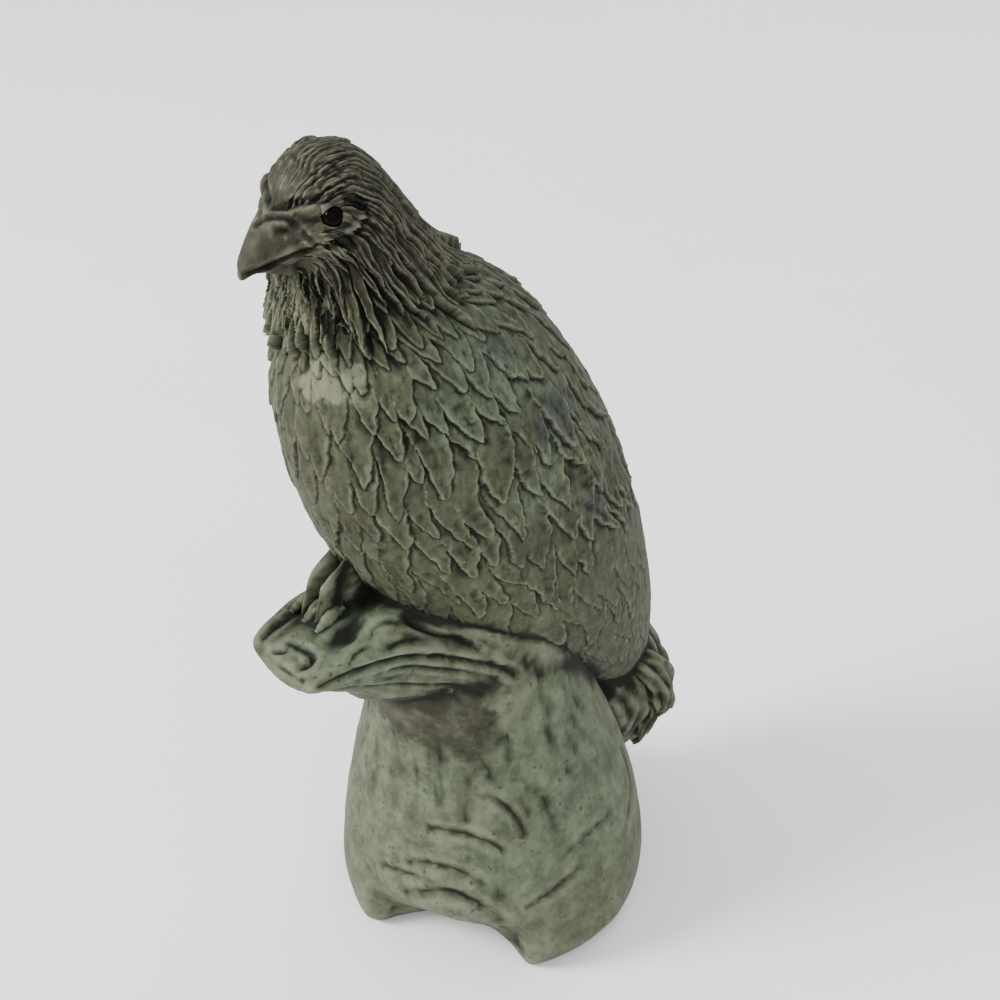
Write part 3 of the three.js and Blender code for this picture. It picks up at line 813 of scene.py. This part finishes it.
def carved_face(piece, layout):
    """Eases the seams of beak, lids and feet, then cuts the face strokes: each corner goes part
    of the way to its smoothed place, by a bell round the seam, and down its normal by the
    strokes' depth."""
    mesh = piece.data
    points, edges = corners_of(mesh), edges_of(mesh)
    beside, y, z = np.abs(points[:, 0] - layout.aside), points[:, 1], points[:, 2]
    beak = bump(y, -55.5, 3.2) * smoothstep(212, 217, z) * smoothstep(9.5, 7.5, beside)
    feet = 0.8 * bump(z, layout.top, 5) * bump(y, -42, 8) * smoothstep(11, 8, beside)
    seam = beak + feet
    for turn in layout.eye_turns.values():
        away = np.linalg.norm(points - layout.eye_place(turn)[0], axis=1)
        seam = np.maximum(seam, bump(away, 0, 4.6))
    eased = smoothed(points, edges, 10)
    move_corners(mesh, points + (eased - points) * np.clip(seam, 0, 1)[:, None])
    points, normal = corners_of(mesh), normals_of(mesh)
    sink = gouged(points, normal, FACE_STROKES, layout.aside)
    sink += gouged(points, normal, LEG_STROKES)
    move_corners(mesh, points - normal * sink[:, None])


def feet_piece(layout):
    """The feet: on each side a leg, flat from the side and solid back to the belly, between two
    toes that lie on the branch."""
    heel, toe, toe_width, leg, apart = -0.417 * layout.height, 8.0, 3.2, 3.5, 5.6
    along, angle = ring_grid(50, 72)
    feet = []
    for side in (-1, 1):
        x = layout.aside - 2.5 + side * apart / 2
        front = heel + through([0.9, 0, -0.3, -0.5], along) * toe
        rear = heel + 0.12 * layout.height
        half = through([0.40, 0.52, 0.44, 0.30], along) * leg
        half = half + 0.07 * np.cos(along * 40 + 2 * side) * (along > 0.15)
        points = np.stack([
            x + half * np.sin(angle),
            (front + rear) / 2 + (rear - front) / 2 * np.cos(angle) + 0 * half,
            layout.top + (1.7 - 2.05 * along) * toe + 0 * angle,
        ], -1)
        feet.append(solid(f"leg_{side}", points, PLUMAGE))
        for spread in (-1, 1):
            path = [
                [x + 0.10 * spread * toe, heel + 0.5 * toe, layout.top - 0.02 * toe],
                [x + 0.30 * spread * toe, heel - 0.20 * toe, layout.top - 0.16 * toe],
                [x + 0.36 * spread * toe, heel - 0.65 * toe, layout.top - 0.4 * toe],
            ]
            feet.append(limb(
                f"toe_{side}_{spread}", path, np.array([0.5, 0.5, 0.25]) * toe_width, 30, 28, 1.0,
                lambda angle, along: 0.05 * np.cos(along * 30) + 0 * angle,
            ))
    return joined(feet[0], feet[1:])


def lid_piece(layout, turn):
    """An eyelid: a rounded ring that is fuller above the bead."""
    place, out = layout.eye_place(turn)
    up = np.array([0.0, 0.0, 1.0]) - out[2] * out
    up /= np.linalg.norm(up)
    across = np.cross(up, out)
    sides, rings = 48, 24
    along = (np.arange(1, rings) / rings)[:, None]
    angle = (np.arange(sides) / sides * TAU)[None, :]
    radius = (layout.eye_radius + 0.30) * np.sin(np.pi * along) ** 0.8
    depth = np.cos(np.pi * along) * (0.55 + 0.45 * np.cos(angle))
    radius = radius * (1 + 0.05 * np.cos(angle * 2))
    points = (
        place - 0.1 * out
        + up * (np.cos(angle) * radius)[..., None]
        + across * (np.sin(angle) * radius)[..., None]
        + out * depth[..., None]
    )
    return solid("lid", points, PLUMAGE)


def ball(name, middle, radius, sides=48, rings=30):
    """A sphere from its poles down, in rings of even angle."""
    _, angle = ring_grid(rings, sides)
    down = np.linspace(0.02, np.pi - 0.02, rings)[:, None]
    points = middle + radius * np.stack([
        np.sin(down) * np.cos(angle), np.sin(down) * np.sin(angle), np.cos(down) + 0 * angle,
    ], -1)
    return solid(name, points, PLUMAGE)


def stump_body(layout):
    """The stump: rings that narrow and lean towards the branch, a foot bevel, a raised crease
    and a scallop cut into the foot, which is half an ellipse across and fades upwards."""
    perch = layout.perch
    radius, height = perch.stump_radius / MM, perch.stump_height / MM
    crease_way, scallop_way = math.radians(-6), math.radians(-60)
    scallop_depth, scallop_half, scallop_height = 20, 25.5, 26
    along, angle = ring_grid(120, 240)
    z = along * height
    bevel = 2.4 * (1 - smoothstep(0, 4.8, z))
    away = np.mod(angle - crease_way + np.pi, TAU) - np.pi
    crease = 1.8 * bump(away, 0, 0.2) * smoothstep(0.45, 0.75, along)
    aside = (np.mod(angle - scallop_way + np.pi, TAU) - np.pi) * radius
    arch = np.sqrt(np.maximum(0, 1 - (aside / scallop_half) ** 2))
    scallop = scallop_depth * arch * (1 - smoothstep(0, scallop_height, z))
    reach = through(STUMP_RADII, along) * radius - bevel + crease - scallop
    lean = through(STUMP_LEANS, along) * radius
    points = np.stack([
        reach * np.cos(angle) - 0.4 * lean,
        reach * np.sin(angle) - 0.85 * lean,
        z + 0 * angle,
    ], -1)
    return solid("stump", points, WOOD)


def branch_body(layout):
    """The branch: boat-shaped sections, round above and drawn to a keel below, with a raised
    bark rim along the far edge."""
    perch = layout.perch
    reach, width, depth = (v / MM for v in (
        perch.branch_reach, perch.branch_width, perch.branch_depth))
    along, angle = ring_grid(130, 180)
    y, middle, half, drop, keel = (through(column, along) for column in BRANCH.T)
    across, up = np.sin(angle), np.cos(angle)
    high, low = layout.top - drop * depth, layout.top - keel * depth
    widest = high - 0.3 * (high - low)
    rim = 1.6 * smoothstep(0.6, 0.9, -across) * smoothstep(0, 0.3, up)
    z = np.where(
        up > 0, widest + (high - widest) * np.sqrt(np.maximum(up, 0)) + rim,
        widest + (widest - low) * up,
    )
    bent = np.where(up > 0, across, np.sign(across) * np.abs(across) ** 1.5)
    points = np.stack([
        middle * width + half * width * bent, y * reach + 0 * angle, z,
    ], -1)
    return solid("branch", points, WOOD)


def smoothed(values, edges, rounds):
    """Values averaged with their neighbours' along the edges, again and again."""
    count = len(values)
    neighbours = np.bincount(edges.ravel(), minlength=count)[:, None] + 1e-9
    for _ in range(rounds):
        total = np.stack([
            np.bincount(edges[:, 0], values[edges[:, 1], k], count)
            + np.bincount(edges[:, 1], values[edges[:, 0], k], count)
            for k in range(values.shape[1])
        ], -1)
        values = 0.4 * values + 0.6 * total / neighbours
    return values


def carved_wood(layout):
    """Stump and branch as one skin: remeshed finely, eased where they meet, then gouged along
    its normals. The underside stays flat."""
    voxel = 0.75
    wood = joined(stump_body(layout), [branch_body(layout)])
    remesh = wood.modifiers.new("remesh", "REMESH")
    remesh.mode, remesh.voxel_size = "VOXEL", voxel * MM
    applied(wood)
    mesh = wood.data
    mesh.polygons.foreach_set("material_index", np.full(len(mesh.polygons), WOOD, np.int32))
    points = smoothed(corners_of(mesh), edges_of(mesh), 12)
    points[:, 2] = np.maximum(points[:, 2], 0)
    move_corners(mesh, points)
    normal = normals_of(mesh)
    points = corners_of(mesh)
    free = smoothstep(0.3, 4.0, points[:, 2])
    lumps = 0.45 * ripple(points * [1, 1, 0.7], 24, 61, 2)
    flow = points @ np.array([[1, 0, 0.3], [0, 1, 0.3], [0, 0, 0.28]])
    grain = 0.09 * np.minimum(ripple(flow, 8.0, 67, 3), 0.1) + 0.05 * ripple(points, 5.0, 68, 2)
    sink = 0.75 * gouged(points, normal, STUMP_STROKES) + gouged(points, normal, BRANCH_STROKES)
    points = points + normal * ((lumps + grain - sink) * free)[:, None]
    points[:, 2] = np.maximum(points[:, 2], 0)
    move_corners(mesh, points)
    return wood


def one_skin(piece):
    """Keeps only the largest shell of a piece: each corner takes the lowest number among the
    corners it is joined to until none changes, and the few corners with a rarer number go."""
    mesh = piece.data
    first, second = edges_of(mesh).T
    shell = np.arange(len(mesh.vertices))
    settled = False
    while not settled:
        lowest = np.minimum(shell[first], shell[second])
        lower = shell.copy()
        np.minimum.at(lower, first, lowest)
        np.minimum.at(lower, second, lowest)
        lower = lower[lower]
        settled = np.array_equal(lower, shell)
        shell = lower
    stray = np.flatnonzero(shell != np.bincount(shell).argmax())
    work = bmesh.new()
    work.from_mesh(mesh)
    work.verts.ensure_lookup_table()
    bmesh.ops.delete(work, geom=[work.verts[i] for i in stray], context="VERTS")
    work.to_mesh(mesh)
    work.free()


def kept_inside(piece):
    """Eases a piece into the CAD box, but for its flat foot: from a margin m before a side, the
    rest t of the way out becomes m tanh(t / m)."""
    margin = 3
    points = corners_of(piece.data)
    low, high = np.array(CAD_BOX) / MM
    middle, half = (low + high) / 2, (high - low) / 2 - margin
    away = points - middle
    over = np.maximum(np.abs(away) - half, 0)
    over[:, 2] *= away[:, 2] > 0
    points = points - np.sign(away) * (over - margin * np.tanh(over / margin))
    move_corners(piece.data, points)


def paint_masks(piece):
    """Stores masks on the carving's corners. ridge and hollow say how far a corner stands off or
    lies under the same skin after a little smoothing, and deep the same after much smoothing;
    hollow and deep place painted shade in creases and hollows. wood, worn, green and blue say
    where each paint lies, and brown where brownish paint lies and where shade is painted under
    the branch, under the belly, where the branch meets the body and along the stump's foot."""
    mesh = piece.data
    points, normal, edges = corners_of(mesh), normals_of(mesh), edges_of(mesh)
    near = smoothed(points, edges, 3)
    far = smoothed(near, edges, 30)
    fine = ((points - near) * normal).sum(1)
    broad = ((points - far) * normal).sum(1)
    kinds = read(mesh.polygons, "material_index")
    starts = read(mesh.loops, "vertex_index")
    loop_kinds = np.repeat(kinds, read(mesh.polygons, "loop_total")).astype(float)
    faces_at = np.maximum(np.bincount(starts, None, len(points)), 1)
    wood = np.bincount(starts, loop_kinds, len(points)) / faces_at
    wood = smoothed(wood[:, None], edges, 2)[:, 0]
    ridge = smoothstep(0.2, 1.0, fine / np.percentile(fine, 91))
    # Painted shade along the stump's foot, where it meets the floor, in the same mask as the
    # brownish patches.
    foot = 0.6 * smoothstep(3.5, 0.5, points[:, 2])
    masks = {
        "ridge": ridge * smoothstep(-0.35, 0.15, broad),
        # hollow and deep place painted shade in the fine creases and the broad hollows.
        "hollow": smoothstep(0.0, np.percentile(fine, 16), fine),
        "deep": smoothstep(0.0, np.percentile(broad, 11), broad),
        "wood": wood,
        "worn": patched(points, WORN_PATCHES),
        "green": patched(points, GREEN_PATCHES),
        "brown": np.maximum(patched(points, BROWN_AND_SHADE_PATCHES), foot),
        "blue": patched(points, BLUE_PATCHES) * (1 - wood),
        "head": smoothstep(196, 216, points[:, 2]),
    }
    for name, values in masks.items():
        mask = mesh.attributes.new(name, "FLOAT", "POINT")
        mask.data.foreach_set("value", values.astype(np.float32))
    mesh.polygons.foreach_set("material_index", np.zeros(len(mesh.polygons), np.int32))


class Nodes:
    """A node tree being built: each call adds a node, sets or links its inputs and gives its
    output."""

    def __init__(self, tree):
        self.tree = tree

    def put(self, kind, **settings):
        """A bare node with these settings."""
        node = self.tree.nodes.new(kind)
        for key, value in settings.items():
            setattr(node, key, value)
        return node

    def feed(self, node, values):
        """Links each value that is a socket to its input, and sets the other inputs."""
        for key, value in values.items():
            if isinstance(value, bpy.types.NodeSocket):
                self.tree.links.new(value, node.inputs[key])
            else:
                node.inputs[key].default_value = value
        return node

    def math(self, operation, *values, clamp=False):
        """One sum on numbers or sockets."""
        node = self.put("ShaderNodeMath", operation=operation, use_clamp=clamp)
        return self.feed(node, dict(enumerate(values))).outputs[0]

    def times(self, first, second):
        """first × second"""
        return self.math("MULTIPLY", first, second)

    def line(self, value, slope, start, clamp=False):
        """value × slope + start"""
        return self.math("MULTIPLY_ADD", value, slope, start, clamp=clamp)

    def vector(self, operation, *values):
        """One sum on vectors."""
        node = self.put("ShaderNodeVectorMath", operation=operation)
        return self.feed(node, dict(enumerate(values))).outputs[0]

    def blend(self, share, first, second, kind="MIX"):
        """The first colour, with the second laid over it by its share."""
        node = self.put("ShaderNodeMix", data_type="RGBA", blend_type=kind, clamp_factor=True)
        return self.feed(node, {0: share, 6: first, 7: second}).outputs[2]

    def noise(self, place, size, detail=3.0, rough=0.55):
        """Noise with features about size millimetres across."""
        return self.feed(self.put("ShaderNodeTexNoise"), {
            "Vector": place, "Scale": 1 / (size * MM), "Detail": detail, "Roughness": rough,
        }).outputs["Fac"]

    def ramp(self, value, low, high):
        """0 at low and 1 at high, with a smooth step between them."""
        node = self.put("ShaderNodeMapRange", interpolation_type="SMOOTHSTEP")
        return self.feed(node, {0: value, 1: low, 2: high, 3: 0.0, 4: 1.0}).outputs[0]

    def mask(self, name):
        """A mask that is stored on the mesh's corners."""
        return self.put("ShaderNodeAttribute", attribute_name=name).outputs["Fac"]

    def place(self):
        """The place on the piece, in its own metres."""
        return self.put("ShaderNodeTexCoord").outputs["Object"]

    def group(self, group, **values):
        """The first output of a group fed with these values."""
        return self.feed(self.put("ShaderNodeGroup", node_tree=group), values).outputs[0]


def new_group(name, inputs, outputs):
    """An empty shader group with named sockets. A socket is (name, kind, default)."""
    group = bpy.data.node_groups.new(name, "ShaderNodeTree")
    for socket, kind, default in inputs:
        made = group.interface.new_socket(socket, in_out="INPUT", socket_type="NodeSocket" + kind)
        made.default_value = default
    for socket, kind in outputs:
        group.interface.new_socket(socket, in_out="OUTPUT", socket_type="NodeSocket" + kind)
    nodes = Nodes(group)
    start, end = nodes.put("NodeGroupInput"), nodes.put("NodeGroupOutput")
    return group, nodes, start.outputs, end


def patina_group():
    """Clouds one colour with another: soft broad noise and finer mottling decide the share."""
    group, nodes, start, end = new_group(
        "patina",
        [("Base", "Color", (0.5, 0.5, 0.5, 1)), ("Cloud", "Color", (0.3, 0.3, 0.3, 1)),
         ("Share", "Float", 0.5), ("Size", "Float", 20.0), ("Seed", "Float", 0.0),
         ("Strength", "Float", 1.0)],
        [("Color", "Color")],
    )
    moved = nodes.vector("ADD", nodes.place(), start["Seed"])
    broad = nodes.feed(nodes.put("ShaderNodeTexNoise"), {
        "Vector": moved, "Scale": nodes.math("DIVIDE", 1 / MM, start["Size"]), "Detail": 4.0,
        "Roughness": 0.62, "Distortion": 0.6,
    }).outputs["Fac"]
    mixed = nodes.line(nodes.noise(moved, 2.6, 4.0, 0.7), 0.35, nodes.times(broad, 0.9))
    shifted = nodes.math("ADD", mixed, nodes.line(start["Share"], 0.9, -0.62))
    share = nodes.times(nodes.ramp(shifted, 0.26, 0.70), start["Strength"])
    nodes.tree.links.new(nodes.blend(share, start["Base"], start["Cloud"]), end.inputs[0])
    return group


def pits_group():
    """Small scattered pits: cells whose middles are dark, thinned out by broad noise."""
    group, nodes, start, end = new_group(
        "pits", [("Size", "Float", 2.2), ("Amount", "Float", 0.5)], [("Mask", "Float")],
    )
    place = nodes.place()
    wobble = nodes.feed(nodes.put("ShaderNodeTexNoise"), {
        "Vector": place, "Scale": 420.0, "Detail": 2.0}).outputs["Color"]
    bent = nodes.vector("MULTIPLY_ADD", wobble, (2.2 * MM,) * 3, place)
    cells = nodes.feed(nodes.put("ShaderNodeTexVoronoi", feature="F1"), {
        "Vector": bent, "Scale": nodes.math("DIVIDE", 1 / MM, start["Size"])})
    spot = nodes.ramp(cells.outputs["Distance"], 0.30, 0.12)
    where = nodes.math("ADD", nodes.noise(place, 9.0, 3.0, 0.6),
                       nodes.line(start["Amount"], 0.4, -0.2))
    nodes.tree.links.new(nodes.times(spot, nodes.ramp(where, 0.50, 0.60)), end.inputs[0])
    return group


def new_material(name):
    """A new material, its nodes and its surface shader."""
    material = bpy.data.materials.new(name)
    material.use_nodes = True
    return material, Nodes(material.node_tree), material.node_tree.nodes["Principled BSDF"]


def stone_material(colours):
    """Painted cast stone: patina by place, brownish paint, painted shade in the carving's creases
    and hollows and under the branch, pale rubbed edges.
    """
    material, nodes, shader = new_material("carved_stone")
    place, wood, green = nodes.place(), nodes.mask("wood"), nodes.mask("green")
    patina, pits = patina_group(), pits_group()

    def paint(name, strength=1.0):
        """A user's colour, made weaker or stronger."""
        return (*(strength * c for c in getattr(colours, name)), 1.0)

    def clouded(base, cloud, share, size, seed, strength=1.0):
        """The base colour with clouds of another, size millimetres across."""
        return nodes.group(patina, Base=base, Cloud=cloud, Share=share, Size=size, Seed=seed,
                           Strength=strength)

    plumage = clouded(paint("plumage"), paint("plumage", 0.62), 0.42, 24.0, 0.3)
    plumage = clouded(plumage, paint("green"), nodes.line(green, 0.5, 0.22), 13.0, 1.7)
    plumage = clouded(plumage, paint("blue"), nodes.times(nodes.mask("blue"), 0.85), 7.0, 2.9, 0.7)
    plumage = nodes.blend(nodes.times(nodes.mask("head"), 0.95), plumage, paint("brown"))
    timber = clouded(paint("wood"), paint("green"), nodes.line(green, 0.5, 0.36), 16.0, 4.1)
    colour = nodes.blend(wood, plumage, timber)
    # Brownish paint on the forehead, breast and stump, and painted shade under the branch, under
    # the belly, where the branch meets the body and along the stump's foot, laid on as one colour.
    brown = nodes.line(nodes.mask("brown"), 0.95, 0.04)
    colour = clouded(colour, paint("brown"), brown, 5.0, 6.3, 0.88)

    # Mottle: drawn-out streaks on the plumage and blotches on the wood, both with fine specks.
    speck = nodes.noise(place, 1.8, 4.0, 0.65)
    streak = nodes.noise(nodes.vector("MULTIPLY", place, (1.0, 1.0, 0.38)), 2.4, 4.0, 0.7)
    blotch = nodes.noise(place, 6.0, 5.0, 0.62)
    grained = nodes.math("ADD", nodes.times(streak, nodes.math("SUBTRACT", 1.0, wood)),
                         nodes.times(blotch, wood))
    mottle = nodes.line(grained, 0.65, nodes.times(speck, 0.35))
    darker = nodes.blend(1.0, colour, (0.66, 0.65, 0.63, 1), "MULTIPLY")
    lighter = nodes.blend(1.0, colour, (1.34, 1.34, 1.33, 1), "MULTIPLY")
    colour = nodes.blend(nodes.ramp(mottle, 0.36, 0.66), darker, lighter)

    # Wear: worn patches and the tops of edges show pale stone.
    patchy = nodes.noise(place, 3.5, 4.0, 0.65)
    worn = nodes.times(nodes.ramp(nodes.line(patchy, 0.7, nodes.mask("worn")), 0.75, 1.05), 0.50)
    ridge = nodes.times(nodes.mask("ridge"), nodes.ramp(patchy, 0.22, 0.56))
    rubbed = nodes.math("MAXIMUM", worn, nodes.times(ridge, nodes.line(wood, -0.05, 0.42)))
    colour = nodes.blend(rubbed, colour, paint("rubbed"))

    # Painted shade: the creases and broad hollows are darkened, and the pits get dark specks.
    shade_and_specks = nodes.math("MAXIMUM", nodes.times(nodes.mask("hollow"), 0.97),
                       nodes.times(nodes.mask("deep"), 0.94))
    spots = nodes.group(pits, Size=2.3, Amount=0.5)
    shade_and_specks = nodes.math("MAXIMUM", shade_and_specks, nodes.times(spots, 0.55), clamp=True)
    colour = nodes.blend(shade_and_specks, colour, paint("dark"))

    height = nodes.line(spots, -0.8, nodes.noise(place, 0.7, 5.0, 0.7))
    relief = nodes.feed(nodes.put("ShaderNodeBump"), {
        "Height": height, "Strength": 0.55, "Distance": 0.18 * MM}).outputs[0]
    rough = nodes.line(shade_and_specks, 0.10, nodes.line(speck, 0.16, 0.62), clamp=True)
    nodes.feed(shader, {"Base Color": colour, "Roughness": rough, "Normal": relief,
                        "Specular IOR Level": 0.18})
    return material


def bead_material():
    """Black glass of a bead eye: near black with a warm umber glow low in it, under a clear
    gloss."""
    material, nodes, shader = new_material("bead_glass")
    cloud = nodes.noise(nodes.place(), 1.6, 2.0, 0.5)
    colour = nodes.blend(cloud, (0.0008, 0.0008, 0.0008, 1), (0.003, 0.002, 0.0012, 1))
    nodes.feed(shader, {"Base Color": colour, "Specular IOR Level": 0.03,
                        "Roughness": nodes.line(cloud, 0.05, 0.02)})
    return material


def floor_material(colour):
    """Plain matt paper, barely mottled."""
    material, nodes, shader = new_material("pale_floor")
    mottle = nodes.noise(nodes.place(), 120.0, 3.0, 0.5)
    shade = nodes.blend(mottle, (*(0.97 * c for c in colour), 1), (*(1.03 * c for c in colour), 1))
    nodes.feed(shader, {"Base Color": shade, "Roughness": 0.9})
    return material


class CARVING_OT_stone(bpy.types.Operator):
    """Builds the carved bird, branch and stump as one piece"""

    bl_idname = "carving.stone"
    bl_label = "Carved stone"

    def execute(self, context):
        layout = Layout(context.scene)
        carving = bird_body(layout)
        parts = [beak_piece(layout), tail_piece(layout), feet_piece(layout)]
        turns = layout.eye_turns.values()
        parts += [lid_piece(layout, turn) for turn in turns]
        parts += [carved_wood(layout)]
        joined(carving, parts)
        sockets = [
            ball("socket", layout.eye_place(turn)[0], SOCKET_SHARE * layout.eye_radius)
            for turn in turns
        ]
        carved_face(carving, layout)
        joined(carving, sockets, "DIFFERENCE")
        carving.data.calc_loop_triangles()
        triangles = len(carving.data.loop_triangles)
        if triangles > MOST_TRIANGLES:
            thin = carving.modifiers.new("thin", "DECIMATE")
            thin.ratio = MOST_TRIANGLES / triangles
            applied(carving)
        one_skin(carving)
        kept_inside(carving)
        carving.data.validate()
        paint_masks(carving)
        carving.data.materials.clear()
        carving.data.materials.append(stone_material(context.scene.carving_colours))
        carving.data.shade_smooth()
        carving.name = "carved_bird_on_stump"
        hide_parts("bird_on_stump")
        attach(carving, "root")
        return {"FINISHED"}


class CARVING_OT_beads(bpy.types.Operator):
    """Builds the two bead eyes"""

    bl_idname = "carving.beads"
    bl_label = "Bead eyes"

    def execute(self, context):
        layout = Layout(context.scene)
        material = bead_material()
        for side, turn in layout.eye_turns.items():
            place, _ = layout.eye_place(turn)
            bead = ball(f"bead_eye_{side}", place, BEAD_SHARE * layout.eye_radius, 64, 40)
            bead.data.materials.clear()
            bead.data.materials.append(material)
            bead.data.shade_smooth()
            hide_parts(f"eye_{side}")
            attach(bead, "root")
        return {"FINISHED"}


class CARVING_OT_stage(bpy.types.Operator):
    """Sets up the floor, the soft lights and the camera"""

    bl_idname = "carving.stage"
    bl_label = "Stage"

    def execute(self, context):
        scene = context.scene
        half = scene.carving_stage.floor_width / 2
        mesh = bpy.data.meshes.new("floor")
        mesh.from_pydata(
            [(-half, -half, 0), (half, -half, 0), (half, half, 0), (-half, half, 0)], [],
            [(0, 1, 2, 3)],
        )
        floor = bpy.data.objects.new("floor", mesh)
        mesh.materials.append(floor_material(scene.carving_stage.floor_colour))
        scene.collection.objects.link(floor)

        world = bpy.data.worlds.new("studio")
        world.use_nodes = True
        sky = world.node_tree.nodes["Background"]
        sky.inputs["Color"].default_value = (0.92, 0.96, 1.0, 1)
        sky.inputs["Strength"].default_value = 1.25
        scene.world = world

        for name, place, width, power in LAMPS:
            light = bpy.data.lights.new(name, "AREA")
            light.shape, light.size, light.energy = "DISK", width, power
            lamp = bpy.data.objects.new(name, light)
            scene.collection.objects.link(lamp)
            aim(lamp, place, LAMPS_AIM)

        view = bpy.data.cameras.new("camera")
        view.lens, view.sensor_width, view.shift_x = CAMERA_LENS, CAMERA_SENSOR, CAMERA_SHIFT
        view.clip_start, view.clip_end = 0.01, 20
        camera = bpy.data.objects.new("camera", view)
        scene.collection.objects.link(camera)
        aim(camera, CAMERA_PLACE, CAMERA_AIM)
        scene.camera = camera
        return {"FINISHED"}


def aim(thing, place, target):
    """Puts a lamp or camera at a place, with its -Z towards the target."""
    thing.location = place
    way = Vector(target) - Vector(place)
    thing.rotation_euler = way.to_track_quat("-Z", "Y").to_euler()


class CARVING_PT_panel(bpy.types.Panel):
    """Lists the carving's steps and sizes"""

    bl_idname = "CARVING_PT_panel"
    bl_label = "Carving"
    bl_space_type = "VIEW_3D"
    bl_region_type = "UI"
    bl_category = "Carving"

    def draw(self, context):
        for group in ("carving_bird", "carving_perch", "carving_colours", "carving_stage"):
            box = self.layout.box()
            settings = getattr(context.scene, group)
            for name in settings.__annotations__:
                box.prop(settings, name)
        for operator in OPERATORS:
            self.layout.operator(operator.bl_idname)


GROUPS = {
    "carving_bird": BirdSizes, "carving_perch": PerchSizes, "carving_colours": StoneColours,
    "carving_stage": StageSizes,
}
OPERATORS = (CARVING_OT_stone, CARVING_OT_beads, CARVING_OT_stage)


def register():
    """Registers the classes, each property group as the scene's own."""
    for name, group in GROUPS.items():
        bpy.utils.register_class(group)
        setattr(bpy.types.Scene, name, bpy.props.PointerProperty(type=group))
    for operator in OPERATORS:
        bpy.utils.register_class(operator)
    bpy.utils.register_class(CARVING_PT_panel)


def unregister():
    """Takes back what register did, in reverse order."""
    bpy.utils.unregister_class(CARVING_PT_panel)
    for operator in reversed(OPERATORS):
        bpy.utils.unregister_class(operator)
    for name, group in GROUPS.items():
        delattr(bpy.types.Scene, name)
        bpy.utils.unregister_class(group)


def main():
    """Builds the stage, the carving and its eyes."""
    register()
    bpy.ops.carving.stage()
    bpy.ops.carving.stone()
    bpy.ops.carving.beads()
    bpy.context.view_layer.update()


if __name__ == "__main__":
    main()
